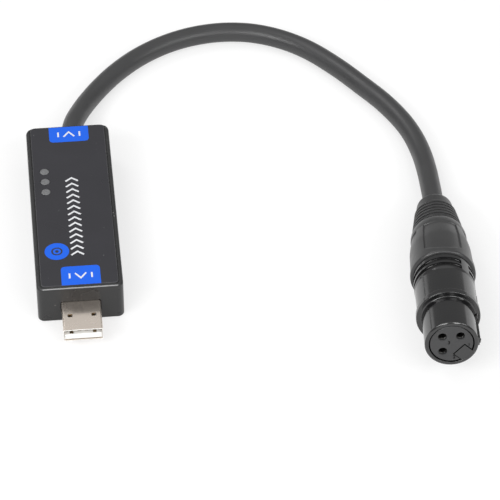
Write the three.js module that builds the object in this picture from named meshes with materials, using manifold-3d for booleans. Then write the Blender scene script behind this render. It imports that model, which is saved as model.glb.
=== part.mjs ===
// A lighting control interface: a slim case with a USB plug, and a short cord with a three-hole connector.
// Lengths are in millimetres with +Z up. The origin is on the standing surface, below the case's middle.
// The case lies along Y, with its USB plug towards -Y and its cord leaving towards +Y.
import * as THREE from 'three';
import { mergeVertices } from 'three/addons/utils/BufferGeometryUtils.js';
import Module from 'manifold-3d';

const wasm = await Module();
wasm.setup();

// Clearances shared by all pieces
const seatGap = 0.3;
const fineGap = 0.1;
const cutOverrun = 1;

// Steps along a curved stretch of an outline; a full circle gets twice as many facets
const cornerSteps = 4;
const sheetSteps = 5;
const cordSteps = 6;
const holeSteps = 9;
const pinFacets = 12;

// Case cover and base plate
const caseLength = 75.8;
const caseWidth = 26.4;
const caseHeight = 13.5;
const caseCornerRadius = 2;
const caseRearCornerRadius = 3.2;
const caseEdgeRound = 0.7;
const caseWall = 1.6;
const caseRoof = 2;
const baseRimWall = 1;
const basePlateThickness = 1.5;
const boardPostRadius = 1.4;
const boardRibThickness = 1.5;
const snapFingerPlugGap = 1;
const snapFingerThickness = 1;
const snapFingerHeight = 6.5;

// Label in its recess, and the windows that carry the lamps' light through it
const labelRim = 1.15;
const labelRecessDepth = 0.55;
const labelThickness = 0.35;
const labelCornerRadius = 1.1;
const windowCount = 3;
const windowRadius = 1.4;
const windowPitch = 4.8;
const windowSideSetback = 5;
const windowRearSetback = 21.7;
const windowFlangeRadius = 1.9;
const windowFlangeThickness = 0.8;
const windowFacets = 16;

// USB plug
const usbWidth = 12;
const usbHeight = 4.5;
const usbSheet = 0.3;
const usbShellLength = 18.75;
const usbExposedLength = 12.45;
const usbCentreHeight = 5.6;
const usbCornerRadius = 0.6;
const usbTongueThickness = 1.84;
const usbTongueSetback = 0.3;
const usbTongueEdge = 0.25;
const usbBlockLength = 7;
const usbWindowWidth = 1.5;
const usbWindowLength = 1.3;
const usbWindowSpacing = 7.25;
const usbWindowSetback = 6.35;
const contactWidth = 1;
const contactThickness = 0.2;
const contactGrooveDepth = 0.36;
const contactOuterSpacing = 7;
const contactInnerSpacing = 2;
const contactOuterSetback = 1.1;
const contactInnerSetback = 2.1;
const contactFootLength = 1.2;

// Circuit board and what it carries
const boardThickness = 1.2;
const boardDrop = 0.99;
const boardCornerRadius = 0.8;
const wireHoleRadius = 0.7;
const wireHoleSpacing = 3.2;
const wireHoleSetback = 3.4;
const bridgeChip = {
  width: 5.3, length: 7.2, height: 1.7, leads: 7, pitch: 0.9, leadWidth: 0.35, reach: 1.1,
};
const driverChip = {
  width: 3.9, length: 4.9, height: 1.5, leads: 4, pitch: 1.2, leadWidth: 0.42, reach: 1.05,
};
const leadThickness = 0.2;
const radioBoard = { width: 11, length: 13, thickness: 0.8 };
const radioCan = { width: 9, length: 8, height: 1.8, cornerRadius: 0.7 };
const crystalCan = { width: 4.6, length: 11.2, height: 3.4 };
const bufferCan = { radius: 2.5, headroom: 1.6, footSize: 5.3, footHeight: 0.8 };
const lampBody = { width: 1.6, length: 3, height: 1 };
const chipResistor = { width: 0.8, length: 1.6, height: 0.45, pitch: 3.2, count: 4 };
const chipCapacitor = { width: 1.25, length: 2, height: 1.1, pitch: 3.6, count: 3 };
// Places on the board, as shares of its width from its middle and of its length from its front edge
const placeShares = {
  bridge: [0.04, 0.22],
  driver: [0.12, 0.76],
  radio: [0.12, 0.52],
  crystal: [-0.3, 0.3],
  buffer: [0.36, 0.1],
  resistors: [0.36, 0.8],
  capacitors: [-0.16, 0.8],
};

// Cord and what holds it in the case
const cableRadius = 3.25;
const cableExitX = 1.2;
const cableSides = 10;
const cableSteps = 30;
const cableInsideLength = 8.5;
const grommetFlangeThickness = 1.2;
const grommetNeckShare = 0.45;
const grommetInnerFlange = 0.9;
const grommetFacets = 20;
const tieWidth = 2.4;
const tieHead = { width: 3.4, height: 2.4 };
const wireRadius = 0.55;
const wireSides = 8;
const wireSteps = 8;
const wireSpread = 1.5;

// Cable connector, measured along its axis from its front face
const connectorFaceX = 108.46;
const connectorFaceY = -73.56;
const connectorFaceHeight = 14.22;
const connectorTurnDegrees = -3.82;
const connectorTiltDegrees = -6.3;
const barrelWall = 1.25;
const barrelLength = 12.8;
const barrelEdgeRound = 0.5;
const flangeStep = 1.65;
const flangeThickness = 2.1;
const flangeFrontRound = 0.45;
const flangeEdgeRound = 0.7;
const bodyStep = 1.1;
const bodyLength = 10.6;
const collarStep = 0.15;
const collarLength = 7;
const collarRamp = 0.9;
const ringGrooveWidth = 1.72;
const ringGrooveDepth = 0.5;
const ringGrooveSetbacks = [1.2, 3.75];
const ringStripWidth = 3;
const ringStripDegrees = 48;
const threadStep = 1.4;
const threadLength = 11;
const keyDegrees = -42;
const keyWidth = 4.5;
const keyInnerReach = 3.2;
const keyLength = 8;
const shellFacets = 36;

// Insert and its three contacts
const insertLength = 22;
const insertRim = 1.09;
const insertFaceSetback = 0.15;
const contactCircleRadius = 3.81;
const contactDegrees = [48, 228, 138];
const contactHoleRadius = 1.25;
const contactLip = 0.9;
const contactRadius = 1.6;
const contactBoreDepth = 13;
const contactCupRadius = 1.1;
const contactCupDepth = 3;
const contactTail = 4.5;
const contactFacets = 12;

// Latch
const latchDegrees = -3;
const latchWidth = 2.9;
const latchSlotStart = 1.3;
const latchTabGap = 0.5;
const latchTabLength = 6.2;
const latchTabToPivot = 3.2;
const latchPinRadius = 0.45;
const latchPinLength = 5.2;
const latchEyeRadius = 0.9;
const latchUndersideStep = 0.5;
const latchBarStep = 0.53;
const latchHookRise = 0.35;
const latchHookLength = 0.8;
const latchTabStep = 1.2;
const latchTabRamp = 0.8;
const latchTravelRoom = 2;
const latchBridge = 0.6;
const springThickness = 0.25;
const springWidth = 2.2;
const springStart = 9;
const springFootLength = 3.5;
const springRiseLength = 6;
const springTipLength = 1.4;

// Nut, its sleeve and the ribbed boot
const nutFrontWall = 1.9;
const nutMiddleStep = 0.45;
const nutRearStep = 2.05;
const nutLength = 21.5;
const nutMiddleShare = 0.53;
const nutTaperPower = 1.15;
const nutStations = 6;
const nutFrontRound = 0.9;
const nutEdgeRound = 0.45;
const nutPanelCount = 4;
const nutPanelDegrees = 72;
const nutPanelDepth = 0.45;
const nutPanelCrownShare = 0.3;
const nutPanelStart = 2;
const nutPanelLength = 15.7;
const nutSeatLength = 7;
const nutRearGap = 0.4;
const nutFacets = 36;
const sleeveLength = 13;
const sleeveSlotWidth = 0.8;
const sleeveFacets = 24;
const bootBaseLength = 0.95;
const bootNeckWall = 3.05;
const bootShoulderWall = 2.55;
const bootShoulderLength = 0.5;
const bootTipWall = 2;
const bootTipRound = 1.7;
const bootLength = 16.15;
const bootRibCount = 5;
const bootRibPitch = 1.8;
const bootGrooveDepth = 0.55;
const bootGrooveShare = 0.45;
const bootSpigotWall = 1.55;
const bootSpigotLength = 3.4;
const bootFacets = 28;

// Sizes that follow from the ones above
const rightAngle = Math.PI / 2;
const fullTurn = 2 * Math.PI;
const caseFront = -caseLength / 2;
const caseRear = caseLength / 2;
const roofUnderside = caseHeight - caseRoof;
const labelFloor = caseHeight - labelRecessDepth;
const usbFront = caseFront - usbExposedLength;
const usbRear = usbFront + usbShellLength;
const usbBottom = usbCentreHeight - usbHeight / 2;
const usbTop = usbBottom + usbHeight;
const tongueBottom = usbBottom + usbSheet + fineGap;
const tongueTop = tongueBottom + usbTongueThickness;
const boardTopHeight = tongueTop - boardDrop;
const boardUnderside = boardTopHeight - boardThickness;
const boardFront = usbRear + seatGap;
const stubInnerEnd = caseRear - caseWall - cableInsideLength;
const boardRear = stubInnerEnd - seatGap;
const boardWidth = caseWidth - 2 * (caseWall + seatGap);
const boardLength = boardRear - boardFront;
const boardCentreY = (boardRear + boardFront) / 2;
const cableBore = cableRadius + seatGap;
const grommetFlangeRadius = (roofUnderside - basePlateThickness) / 2 - fineGap;
const grommetNeckRadius = THREE.MathUtils.lerp(cableBore, grommetFlangeRadius, grommetNeckShare);
const cableExitHeight = basePlateThickness + fineGap + grommetFlangeRadius;
const grommetOuterFace = caseRear + seatGap / 2 + grommetFlangeThickness;
const insertRadius = contactCircleRadius + contactRadius + insertRim;
const shellBoreRadius = insertRadius + seatGap;
const barrelRadius = shellBoreRadius + barrelWall;
const flangeRadius = barrelRadius + flangeStep;
const bodyRadius = barrelRadius + bodyStep;
const collarRadius = bodyRadius + collarStep;
const threadRadius = collarRadius - threadStep;
const flangeFront = barrelLength;
const flangeRear = flangeFront + flangeThickness;
const collarStart = flangeRear + bodyLength;
const collarEnd = collarStart + collarLength;
const shellEnd = collarEnd + threadLength;
const latchTabStart = flangeRear + latchTabGap;
const latchPivotSetback = latchTabStart + latchTabLength + latchTabToPivot;
const latchPivotRadial = bodyRadius - latchEyeRadius;
const latchUnderside = shellBoreRadius + latchUndersideStep;
const latchBarRadial = barrelRadius + latchBarStep;
const latchTabRadial = barrelRadius + latchTabStep;
const latchFloor = latchUnderside - latchTravelRoom;
const latchSlotTop = flangeRadius - latchBridge;
const nutStart = collarEnd + seatGap;
const nutEnd = nutStart + nutLength;
const nutBore = threadRadius + seatGap;
const nutFrontRadius = nutBore + nutFrontWall;
const nutMiddleRadius = nutFrontRadius - nutMiddleStep;
const nutRearRadius = nutFrontRadius - nutRearStep;
const nutSeatRadius = shellBoreRadius + fineGap;
const nutSeatStart = shellEnd + 2 * seatGap;
const nutSeatEnd = nutSeatStart + nutSeatLength;
const bootSpigotRadius = cableBore + bootSpigotWall;
const bootBaseRadius = nutRearRadius - fineGap;
const bootNeckRadius = cableBore + bootNeckWall;
const bootShoulderRadius = cableBore + bootShoulderWall;
const bootTipRadius = cableBore + bootTipWall;
const nutRearBore = bootSpigotRadius + nutRearGap;
const bootStart = nutEnd + seatGap;
const bootEnd = bootStart + bootLength;
const bootSpigotStart = bootStart - bootSpigotLength;
const sleeveEnd = bootSpigotStart - seatGap;
const sleeveStart = sleeveEnd - sleeveLength;
const stubConnectorEnd = sleeveStart - 2 * seatGap;
const contactEnd = insertFaceSetback + insertLength + contactTail;

// The cord's route, from the case to the boot, chosen by hand
const cordRoute = [
  [1.2, 39.55, 6.5], [1.39, 42.0, 6.45], [1.92, 45.2, 6.25], [2.95, 49.1, 5.8],
  [5.15, 54.95, 4.73], [8.2, 61.3, 3.78], [12.45, 68.1, 3.3], [18.1, 75.0, 3.3],
  [25.6, 82.0, 3.3], [34.7, 87.8, 3.3], [44.4, 91.4, 3.3], [54.2, 92.65, 3.3],
  [64.0, 91.45, 3.3], [73.1, 87.65, 3.3], [81.8, 81.3, 3.3], [90.5, 71.45, 3.3],
  [98.1, 60.7, 3.3], [104.3, 51.2, 3.3], [109.1, 41.4, 3.3], [111.6, 33.5, 3.35],
  [113.0, 25.0, 3.68], [113.5, 16.0, 4.45], [113.42, 6.3, 5.45], [113.17, -3.05, 6.42],
];

function finish(color, roughness, metalness = 0) {
  return new THREE.MeshStandardMaterial({ color, roughness, metalness });
}

const finishes = {
  casing: () => finish(0x161617, 0.38),
  label: () => finish(0x0f1011, 0.32),
  window: () => finish(0x8f9194, 0.4),
  steel: () => finish(0xb9b0a6, 0.28, 1),
  insulator: () => finish(0xf1f0ea, 0.5),
  gold: () => finish(0xd8b25a, 0.3, 1),
  board: () => finish(0x1f5a3a, 0.55),
  chip: () => finish(0x1c1c1e, 0.6),
  tin: () => finish(0xc4c6c8, 0.35, 1),
  lamp: () => finish(0xe8e4c8, 0.4),
  ceramic: () => finish(0xb79a72, 0.6),
  resistor: () => finish(0x24262a, 0.5),
  rubber: () => finish(0x1c1c1d, 0.72),
  jacket: () => finish(0x2f2f31, 0.5),
  nylon: () => finish(0x202022, 0.45),
  blackMetal: () => finish(0x131314, 0.3, 0.6),
  insert: () => finish(0x1b1b1c, 0.5),
  silver: () => finish(0xd7d6d2, 0.25, 1),
  redWire: () => finish(0xa3251f, 0.5),
  whiteWire: () => finish(0xd9d8d2, 0.5),
  bareWire: () => finish(0xb98a5a, 0.4, 1),
};

// A closed geometry as a solid that can be joined and cut
function toSolid(geometry) {
  const bare = geometry.clone();
  bare.deleteAttribute('normal');
  bare.deleteAttribute('uv');
  const merged = mergeVertices(bare);
  const corners = merged.index.array;
  const triangles = [];
  for (let i = 0; i < corners.length; i += 3) {
    const [a, b, c] = [corners[i], corners[i + 1], corners[i + 2]];
    if (a !== b && b !== c && c !== a) triangles.push(a, b, c);
  }
  const vertProperties = new Float32Array(merged.attributes.position.array);
  const triVerts = new Uint32Array(triangles);
  return new wasm.Manifold(new wasm.Mesh({ numProp: 3, vertProperties, triVerts }));
}

function toGeometry(solid) {
  const result = solid.getMesh();
  const geometry = new THREE.BufferGeometry();
  geometry.setAttribute('position', new THREE.BufferAttribute(new Float32Array(result.vertProperties), 3));
  geometry.setIndex(new THREE.BufferAttribute(new Uint32Array(result.triVerts), 1));
  geometry.computeVertexNormals();
  return geometry;
}

function joined(first, ...others) {
  return others.reduce((solid, other) => solid.add(other), first);
}

function without(first, ...cutters) {
  return cutters.reduce((solid, cutter) => solid.subtract(cutter), first);
}

// A block between two opposite corners
function block(low, high) {
  const size = high.map((value, axis) => value - low[axis]);
  const middle = high.map((value, axis) => (value + low[axis]) / 2);
  return new THREE.BoxGeometry(...size).translate(...middle);
}

// A rectangle with round corners, about a centre; the two at its far end may be rounder
function roundedOutline(width, height, radius, centreX = 0, centreY = 0, farRadius = radius) {
  const x = width / 2 - radius;
  const y = height / 2 - radius;
  const farX = width / 2 - farRadius;
  const farY = height / 2 - farRadius;
  const outline = new THREE.Shape();
  outline.absarc(centreX + x, centreY - y, radius, -rightAngle, 0);
  outline.absarc(centreX + farX, centreY + farY, farRadius, 0, rightAngle);
  outline.absarc(centreX - farX, centreY + farY, farRadius, rightAngle, 2 * rightAngle);
  outline.absarc(centreX - x, centreY - y, radius, 2 * rightAngle, 3 * rightAngle);
  outline.closePath();
  return outline;
}

// An inside corner follows the outside one, and keeps a fifth of it under a thick wall
function insideRadius(radius, wall) {
  const leastShare = 0.2;
  return Math.max(radius - wall, radius * leastShare);
}

function circleOutline(radius, centreX = 0, centreY = 0) {
  return new THREE.Shape().absarc(centreX, centreY, radius, 0, fullTurn);
}

// Outline corners joined by straight lines
function straightOutline(corners) {
  return new THREE.Shape(corners.map(([x, y]) => new THREE.Vector2(x, y)));
}

// An outline in X and Y, raised from one height to another
function raised(outline, low, high, curveSegments = cornerSteps) {
  const options = { depth: high - low, bevelEnabled: false, curveSegments };
  const geometry = new THREE.ExtrudeGeometry(outline, options);
  return geometry.translate(0, 0, low);
}

// An outline in X and Z, run along Y
function runAlongY(outline, low, high, curveSegments = sheetSteps) {
  const options = { depth: high - low, bevelEnabled: false, curveSegments };
  const geometry = new THREE.ExtrudeGeometry(outline, options);
  return geometry.rotateX(rightAngle).translate(0, high, 0);
}

// An outline in Y and Z, run along X
function runAlongX(outline, low, high, curveSegments = sheetSteps) {
  const options = { depth: high - low, bevelEnabled: false, curveSegments };
  const geometry = new THREE.ExtrudeGeometry(outline, options);
  return geometry.rotateX(rightAngle).rotateZ(rightAngle).translate(low, 0, 0);
}

// A closed profile of radius and setback, turned about the Y axis
function turned(profile, facets) {
  const loop = [...profile, profile[0]].map(([radius, setback]) => new THREE.Vector2(radius, setback));
  return new THREE.LatheGeometry(loop, facets);
}

// A quarter-round corner of a profile, from one angle to the next
function roundCorner(radius, setback, round, fromDegrees, toDegrees, steps = 3) {
  const points = [];
  for (let i = 0; i <= steps; i += 1) {
    const angle = THREE.MathUtils.degToRad(fromDegrees + ((toDegrees - fromDegrees) * i) / steps);
    points.push([radius + round * Math.cos(angle), setback + round * Math.sin(angle)]);
  }
  return points;
}

function tubeAlong(points, radius, sides, steps) {
  const path = new THREE.CatmullRomCurve3(points.map((point) => new THREE.Vector3(...point)));
  const section = new THREE.Shape();
  for (let i = 0; i < sides; i += 1) {
    const angle = (i * fullTurn) / sides;
    const corner = [radius * Math.cos(angle), radius * Math.sin(angle)];
    if (i === 0) section.moveTo(...corner);
    else section.lineTo(...corner);
  }
  section.closePath();
  return new THREE.ExtrudeGeometry(section, { steps, extrudePath: path, bevelEnabled: false });
}

// A point at a radius and an angle round the connector's axis
function aroundAxis(radius, degrees, setback) {
  const angle = THREE.MathUtils.degToRad(degrees);
  return [radius * Math.cos(angle), setback, radius * Math.sin(angle)];
}

// Something drawn along +X, turned about the connector's axis to an angle
function turnedTo(geometry, degrees) {
  return geometry.rotateY(-THREE.MathUtils.degToRad(degrees));
}

function piece(name, shape, material) {
  const geometry = shape.isBufferGeometry ? shape : toGeometry(shape);
  const mesh = new THREE.Mesh(geometry, material);
  mesh.name = name;
  return mesh;
}

const windowPlaces = Array.from({ length: windowCount }, (_, i) => {
  return [windowSideSetback - caseWidth / 2, caseRear - windowRearSetback - i * windowPitch];
});

function caseCover() {
  const shapeOptions = {
    depth: caseHeight - 2 * caseEdgeRound,
    bevelThickness: caseEdgeRound,
    bevelSize: caseEdgeRound,
    bevelOffset: -caseEdgeRound,
    bevelSegments: 2,
    curveSegments: cornerSteps,
  };
  const caseOutline = roundedOutline(
    caseWidth, caseLength, caseCornerRadius, 0, 0, caseRearCornerRadius,
  );
  const outer = new THREE.ExtrudeGeometry(caseOutline, shapeOptions);
  outer.translate(0, 0, caseEdgeRound);
  const cavityRadius = insideRadius(caseCornerRadius, caseWall);
  const cavity = roundedOutline(caseWidth - 2 * caseWall, caseLength - 2 * caseWall, cavityRadius);
  const rimRadius = insideRadius(caseCornerRadius, baseRimWall);
  const rimOpening = roundedOutline(caseWidth - 2 * baseRimWall, caseLength - 2 * baseRimWall, rimRadius);
  const recessLength = caseLength - labelRim + cutOverrun;
  const recessCentre = caseFront + labelRim + recessLength / 2;
  const recess = roundedOutline(caseWidth - 2 * labelRim, recessLength, labelCornerRadius, 0, recessCentre);
  const plugGap = 2 * fineGap;
  const plugOpening = roundedOutline(
    usbWidth + 2 * plugGap,
    usbHeight + 2 * plugGap,
    usbCornerRadius + plugGap,
    0,
    usbCentreHeight,
  );
  const cordOpening = circleOutline(grommetNeckRadius + fineGap, cableExitX, cableExitHeight);
  let cover = without(
    toSolid(outer),
    toSolid(raised(cavity, -cutOverrun, roofUnderside)),
    toSolid(raised(rimOpening, -cutOverrun, basePlateThickness + seatGap)),
    toSolid(raised(recess, labelFloor, caseHeight + cutOverrun)),
    toSolid(runAlongY(plugOpening, caseFront - cutOverrun, caseFront + caseWall + cutOverrun)),
    toSolid(runAlongY(cordOpening, caseRear - caseWall - cutOverrun, caseRear + cutOverrun, holeSteps)),
  );
  for (const [x, y] of windowPlaces) {
    const opening = circleOutline(windowRadius + fineGap, x, y);
    cover = cover.subtract(toSolid(raised(opening, roofUnderside - cutOverrun, caseHeight, holeSteps)));
  }
  // Ribs on the side walls reach down to the board and hold it on its posts
  const ribSpots = [boardFront + boardLength / 4, boardRear - boardLength / 4];
  const wallInside = caseWidth / 2 - caseWall;
  for (const y of ribSpots) {
    for (const side of [-1, 1]) {
      const inner = side * (wallInside - boardRibThickness);
      const outside = side * (wallInside + caseWall / 2);
      const low = [Math.min(inner, outside), y - boardRibThickness / 2, boardTopHeight + fineGap];
      const high = [Math.max(inner, outside), y + boardRibThickness / 2, roofUnderside + caseRoof / 2];
      cover = cover.add(toSolid(block(low, high)));
    }
  }
  return piece('case_cover', cover, finishes.casing());
}

function basePlate() {
  const inset = baseRimWall + seatGap;
  const radius = insideRadius(caseCornerRadius, inset);
  const outline = roundedOutline(caseWidth - 2 * inset, caseLength - 2 * inset, radius);
  let plate = toSolid(raised(outline, 0, basePlateThickness));
  const postX = boardWidth / 2 - 2 * boardPostRadius;
  const postY = boardLength / 2 - 2 * boardPostRadius;
  for (const x of [-postX, postX]) {
    for (const y of [boardCentreY - postY, boardCentreY + postY]) {
      const post = circleOutline(boardPostRadius, x, y);
      plate = plate.add(toSolid(raised(post, basePlateThickness / 2, boardUnderside - fineGap)));
    }
  }
  // Two snap fingers stand against the inside of each end wall
  const fingerInner = usbWidth / 2 + snapFingerPlugGap;
  const fingerOuter = boardWidth / 2 - seatGap;
  const fingerY = caseLength / 2 - caseWall - seatGap - snapFingerThickness;
  const fingerTop = basePlateThickness + snapFingerHeight;
  for (const end of [-1, 1]) {
    for (const side of [-1, 1]) {
      const near = end * fingerY;
      const far = end * (fingerY + snapFingerThickness);
      const across = [side * fingerInner, side * fingerOuter];
      const low = [Math.min(...across), Math.min(near, far), basePlateThickness / 2];
      const high = [Math.max(...across), Math.max(near, far), fingerTop];
      plate = plate.add(toSolid(block(low, high)));
    }
  }
  return piece('base_plate', plate, finishes.casing());
}

function labelOverlay() {
  const side = labelRim + seatGap;
  const front = caseFront + side;
  const rear = caseRear - caseEdgeRound;
  const middle = (front + rear) / 2;
  const outline = roundedOutline(caseWidth - 2 * side, rear - front, labelCornerRadius, 0, middle);
  for (const [x, y] of windowPlaces) {
    outline.holes.push(new THREE.Path().absarc(x, y, windowRadius + fineGap, 0, fullTurn, true));
  }
  const low = labelFloor + fineGap;
  const label = raised(outline, low, low + labelThickness, holeSteps);
  return piece('label_overlay', toSolid(label), finishes.label());
}

function lightWindows() {
  const top = labelFloor + fineGap + labelThickness;
  const bottom = boardTopHeight + fineGap + lampBody.height + fineGap;
  const flangeTop = roofUnderside - fineGap;
  const profile = [
    [0, bottom],
    [windowRadius, bottom],
    [windowRadius, flangeTop - windowFlangeThickness],
    [windowFlangeRadius, flangeTop - windowFlangeThickness],
    [windowFlangeRadius, flangeTop],
    [windowRadius, flangeTop],
    [windowRadius, top],
    [0, top],
  ];
  return windowPlaces.map(([x, y], i) => {
    const window = turned(profile, windowFacets).rotateX(rightAngle).translate(x, y, 0);
    return piece(`light_window_${i + 1}`, toSolid(window), finishes.window());
  });
}

function usbShell() {
  const outline = roundedOutline(usbWidth, usbHeight, usbCornerRadius, 0, usbCentreHeight);
  const hollowRadius = insideRadius(usbCornerRadius, usbSheet);
  const hollow = roundedOutline(
    usbWidth - 2 * usbSheet,
    usbHeight - 2 * usbSheet,
    hollowRadius,
    0,
    usbCentreHeight,
  );
  let shell = without(
    toSolid(runAlongY(outline, usbFront, usbRear)),
    toSolid(runAlongY(hollow, usbFront - cutOverrun, usbRear + cutOverrun)),
  );
  const windowY = usbFront + usbWindowSetback;
  for (const side of [-1, 1]) {
    const x = (side * usbWindowSpacing) / 2;
    const low = [x - usbWindowWidth / 2, windowY - usbWindowLength / 2, usbBottom - cutOverrun];
    const high = [x + usbWindowWidth / 2, windowY + usbWindowLength / 2, usbTop + cutOverrun];
    shell = shell.subtract(toSolid(block(low, high)));
  }
  return piece('usb_shell', shell, finishes.steel());
}

const usbContactPlaces = [
  { x: -contactOuterSpacing / 2, setback: contactOuterSetback },
  { x: -contactInnerSpacing / 2, setback: contactInnerSetback },
  { x: contactInnerSpacing / 2, setback: contactInnerSetback },
  { x: contactOuterSpacing / 2, setback: contactOuterSetback },
];

function usbTongue() {
  const half = usbWidth / 2 - usbSheet - fineGap;
  const front = usbFront + usbTongueSetback;
  const side = straightOutline([
    [front + usbTongueEdge, tongueBottom],
    [usbRear, tongueBottom],
    [usbRear, usbTop - usbSheet - fineGap],
    [usbRear - usbBlockLength, usbTop - usbSheet - fineGap],
    [usbRear - usbBlockLength, tongueTop],
    [front + usbTongueEdge, tongueTop],
    [front, tongueTop - usbTongueEdge],
    [front, tongueBottom + usbTongueEdge],
  ]);
  let tongue = toSolid(runAlongX(side, -half, half));
  for (const { x, setback } of usbContactPlaces) {
    const halfWidth = contactWidth / 2 + fineGap;
    const low = [x - halfWidth, usbFront + setback - 2 * fineGap, tongueTop - contactGrooveDepth];
    const high = [x + halfWidth, usbRear + cutOverrun, tongueTop];
    tongue = tongue.subtract(toSolid(block(low, high)));
  }
  return piece('usb_tongue', tongue, finishes.insulator());
}

function usbContacts() {
  const bladeLow = tongueTop - contactGrooveDepth + fineGap / 2;
  const bladeHigh = bladeLow + contactThickness;
  const footLow = boardTopHeight + fineGap;
  const footHigh = footLow + contactThickness;
  const drop = usbRear + seatGap + contactThickness;
  const footEnd = drop + contactFootLength;
  return usbContactPlaces.map(({ x, setback }, i) => {
    const side = straightOutline([
      [usbFront + setback, bladeLow],
      [drop, bladeLow],
      [drop, footLow],
      [footEnd, footLow],
      [footEnd, footHigh],
      [drop + contactThickness, footHigh],
      [drop + contactThickness, bladeHigh],
      [usbFront + setback, bladeHigh],
    ]);
    const strip = runAlongX(side, x - contactWidth / 2, x + contactWidth / 2);
    return piece(`usb_contact_${i + 1}`, toSolid(strip), finishes.gold());
  });
}

function circuitBoard() {
  const outline = roundedOutline(boardWidth, boardLength, boardCornerRadius, 0, boardCentreY);
  const holeY = boardRear - wireHoleSetback;
  for (const x of [-wireHoleSpacing, 0, wireHoleSpacing]) {
    outline.holes.push(new THREE.Path().absarc(x, holeY, wireHoleRadius, 0, fullTurn, true));
  }
  return piece('circuit_board', toSolid(raised(outline, boardUnderside, boardTopHeight)), finishes.board());
}

function boardPlace([widthShare, lengthShare]) {
  return [widthShare * boardWidth, boardFront + lengthShare * boardLength];
}

const mountedHeight = boardTopHeight + fineGap;

// A flat chip with bent leads down both long sides
function leadedChip(name, sizes, place) {
  const [x, y] = boardPlace(place);
  const lift = leadThickness;
  const low = [x - sizes.width / 2, y - sizes.length / 2, mountedHeight + lift];
  const high = [x + sizes.width / 2, y + sizes.length / 2, mountedHeight + sizes.height];
  let chip = toSolid(block(low, high));
  const kneeHeight = mountedHeight + sizes.height / 2;
  for (const side of [-1, 1]) {
    for (let i = 0; i < sizes.leads; i += 1) {
      const leadY = y + (i - (sizes.leads - 1) / 2) * sizes.pitch;
      const root = x + side * (sizes.width / 2 - lift);
      const knee = x + side * (sizes.width / 2 + sizes.reach / 2);
      const toe = x + side * (sizes.width / 2 + sizes.reach);
      // The arm, the leg and the foot of one lead, each between two edges and two heights
      const bars = [
        [[root, knee], [kneeHeight - lift, kneeHeight]],
        [[knee - side * lift, knee], [mountedHeight, kneeHeight]],
        [[knee - side * lift, toe], [mountedHeight, mountedHeight + lift]],
      ];
      for (const [edges, [bottom, top]] of bars) {
        const barLow = [Math.min(...edges), leadY - sizes.leadWidth / 2, bottom];
        const barHigh = [Math.max(...edges), leadY + sizes.leadWidth / 2, top];
        chip = chip.add(toSolid(block(barLow, barHigh)));
      }
    }
  }
  return piece(name, chip, finishes.chip());
}

function radioModule() {
  const [x, y] = boardPlace(placeShares.radio);
  const low = mountedHeight;
  const carrier = roundedOutline(radioBoard.width, radioBoard.length, boardCornerRadius, x, y);
  const canY = y - (radioBoard.length - radioCan.length) / 2 + (radioBoard.width - radioCan.width) / 2;
  const can = roundedOutline(radioCan.width, radioCan.length, radioCan.cornerRadius, x, canY);
  const carrierTop = low + radioBoard.thickness;
  const canLow = carrierTop + fineGap;
  return [
    piece('radio_board', toSolid(raised(carrier, low, carrierTop)), finishes.board()),
    piece('radio_shield', toSolid(raised(can, canLow, canLow + radioCan.height)), finishes.tin()),
  ];
}

function crystal() {
  const [x, y] = boardPlace(placeShares.crystal);
  const outline = roundedOutline(crystalCan.width, crystalCan.length, crystalCan.width / 2 - fineGap, x, y);
  const can = raised(outline, mountedHeight, mountedHeight + crystalCan.height);
  return piece('crystal', toSolid(can), finishes.tin());
}

function bufferCapacitor() {
  const [x, y] = boardPlace(placeShares.buffer);
  const foot = roundedOutline(bufferCan.footSize, bufferCan.footSize, boardCornerRadius, x, y);
  const low = mountedHeight;
  const waist = low + bufferCan.footHeight;
  const top = roofUnderside - bufferCan.headroom;
  const barrel = raised(circleOutline(bufferCan.radius, x, y), waist - fineGap, top, holeSteps);
  const can = joined(toSolid(raised(foot, low, waist)), toSolid(barrel));
  return piece('buffer_capacitor', can, finishes.tin());
}

function lamps() {
  return windowPlaces.map(([x, y], i) => {
    const low = [x - lampBody.width / 2, y - lampBody.length / 2, mountedHeight];
    const high = [x + lampBody.width / 2, y + lampBody.length / 2, mountedHeight + lampBody.height];
    return piece(`lamp_${i + 1}`, toSolid(block(low, high)), finishes.lamp());
  });
}

// A row of small chips of one kind along the board
function chipRow(name, sizes, place, material) {
  const [x, y] = boardPlace(place);
  return Array.from({ length: sizes.count }, (_, i) => {
    const chipY = y + (i - (sizes.count - 1) / 2) * sizes.pitch;
    const low = [x - sizes.length / 2, chipY - sizes.width / 2, mountedHeight];
    const high = [x + sizes.length / 2, chipY + sizes.width / 2, mountedHeight + sizes.height];
    return piece(`${name}_${i + 1}`, toSolid(block(low, high)), material());
  });
}

function cableGrommet() {
  const innerWall = caseRear - caseWall;
  const flangeGap = seatGap / 2;
  const profile = [
    [cableBore, innerWall - flangeGap - grommetInnerFlange],
    [grommetFlangeRadius, innerWall - flangeGap - grommetInnerFlange],
    [grommetFlangeRadius, innerWall - flangeGap],
    [grommetNeckRadius, innerWall - flangeGap],
    [grommetNeckRadius, caseRear + flangeGap],
    [grommetFlangeRadius, caseRear + flangeGap],
    ...roundCorner(
      grommetFlangeRadius - grommetFlangeThickness / 2,
      grommetOuterFace - grommetFlangeThickness / 2,
      grommetFlangeThickness / 2,
      0,
      90,
    ),
    [cableBore, grommetOuterFace],
  ];
  const grommet = turned(profile, grommetFacets).translate(cableExitX, 0, cableExitHeight);
  return piece('cable_grommet', toSolid(grommet), finishes.rubber());
}

function cableInCase() {
  const section = circleOutline(cableRadius, cableExitX, cableExitHeight);
  const stub = runAlongY(section, stubInnerEnd, grommetOuterFace, cordSteps);
  return piece('cable_in_case', toSolid(stub), finishes.jacket());
}

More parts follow.
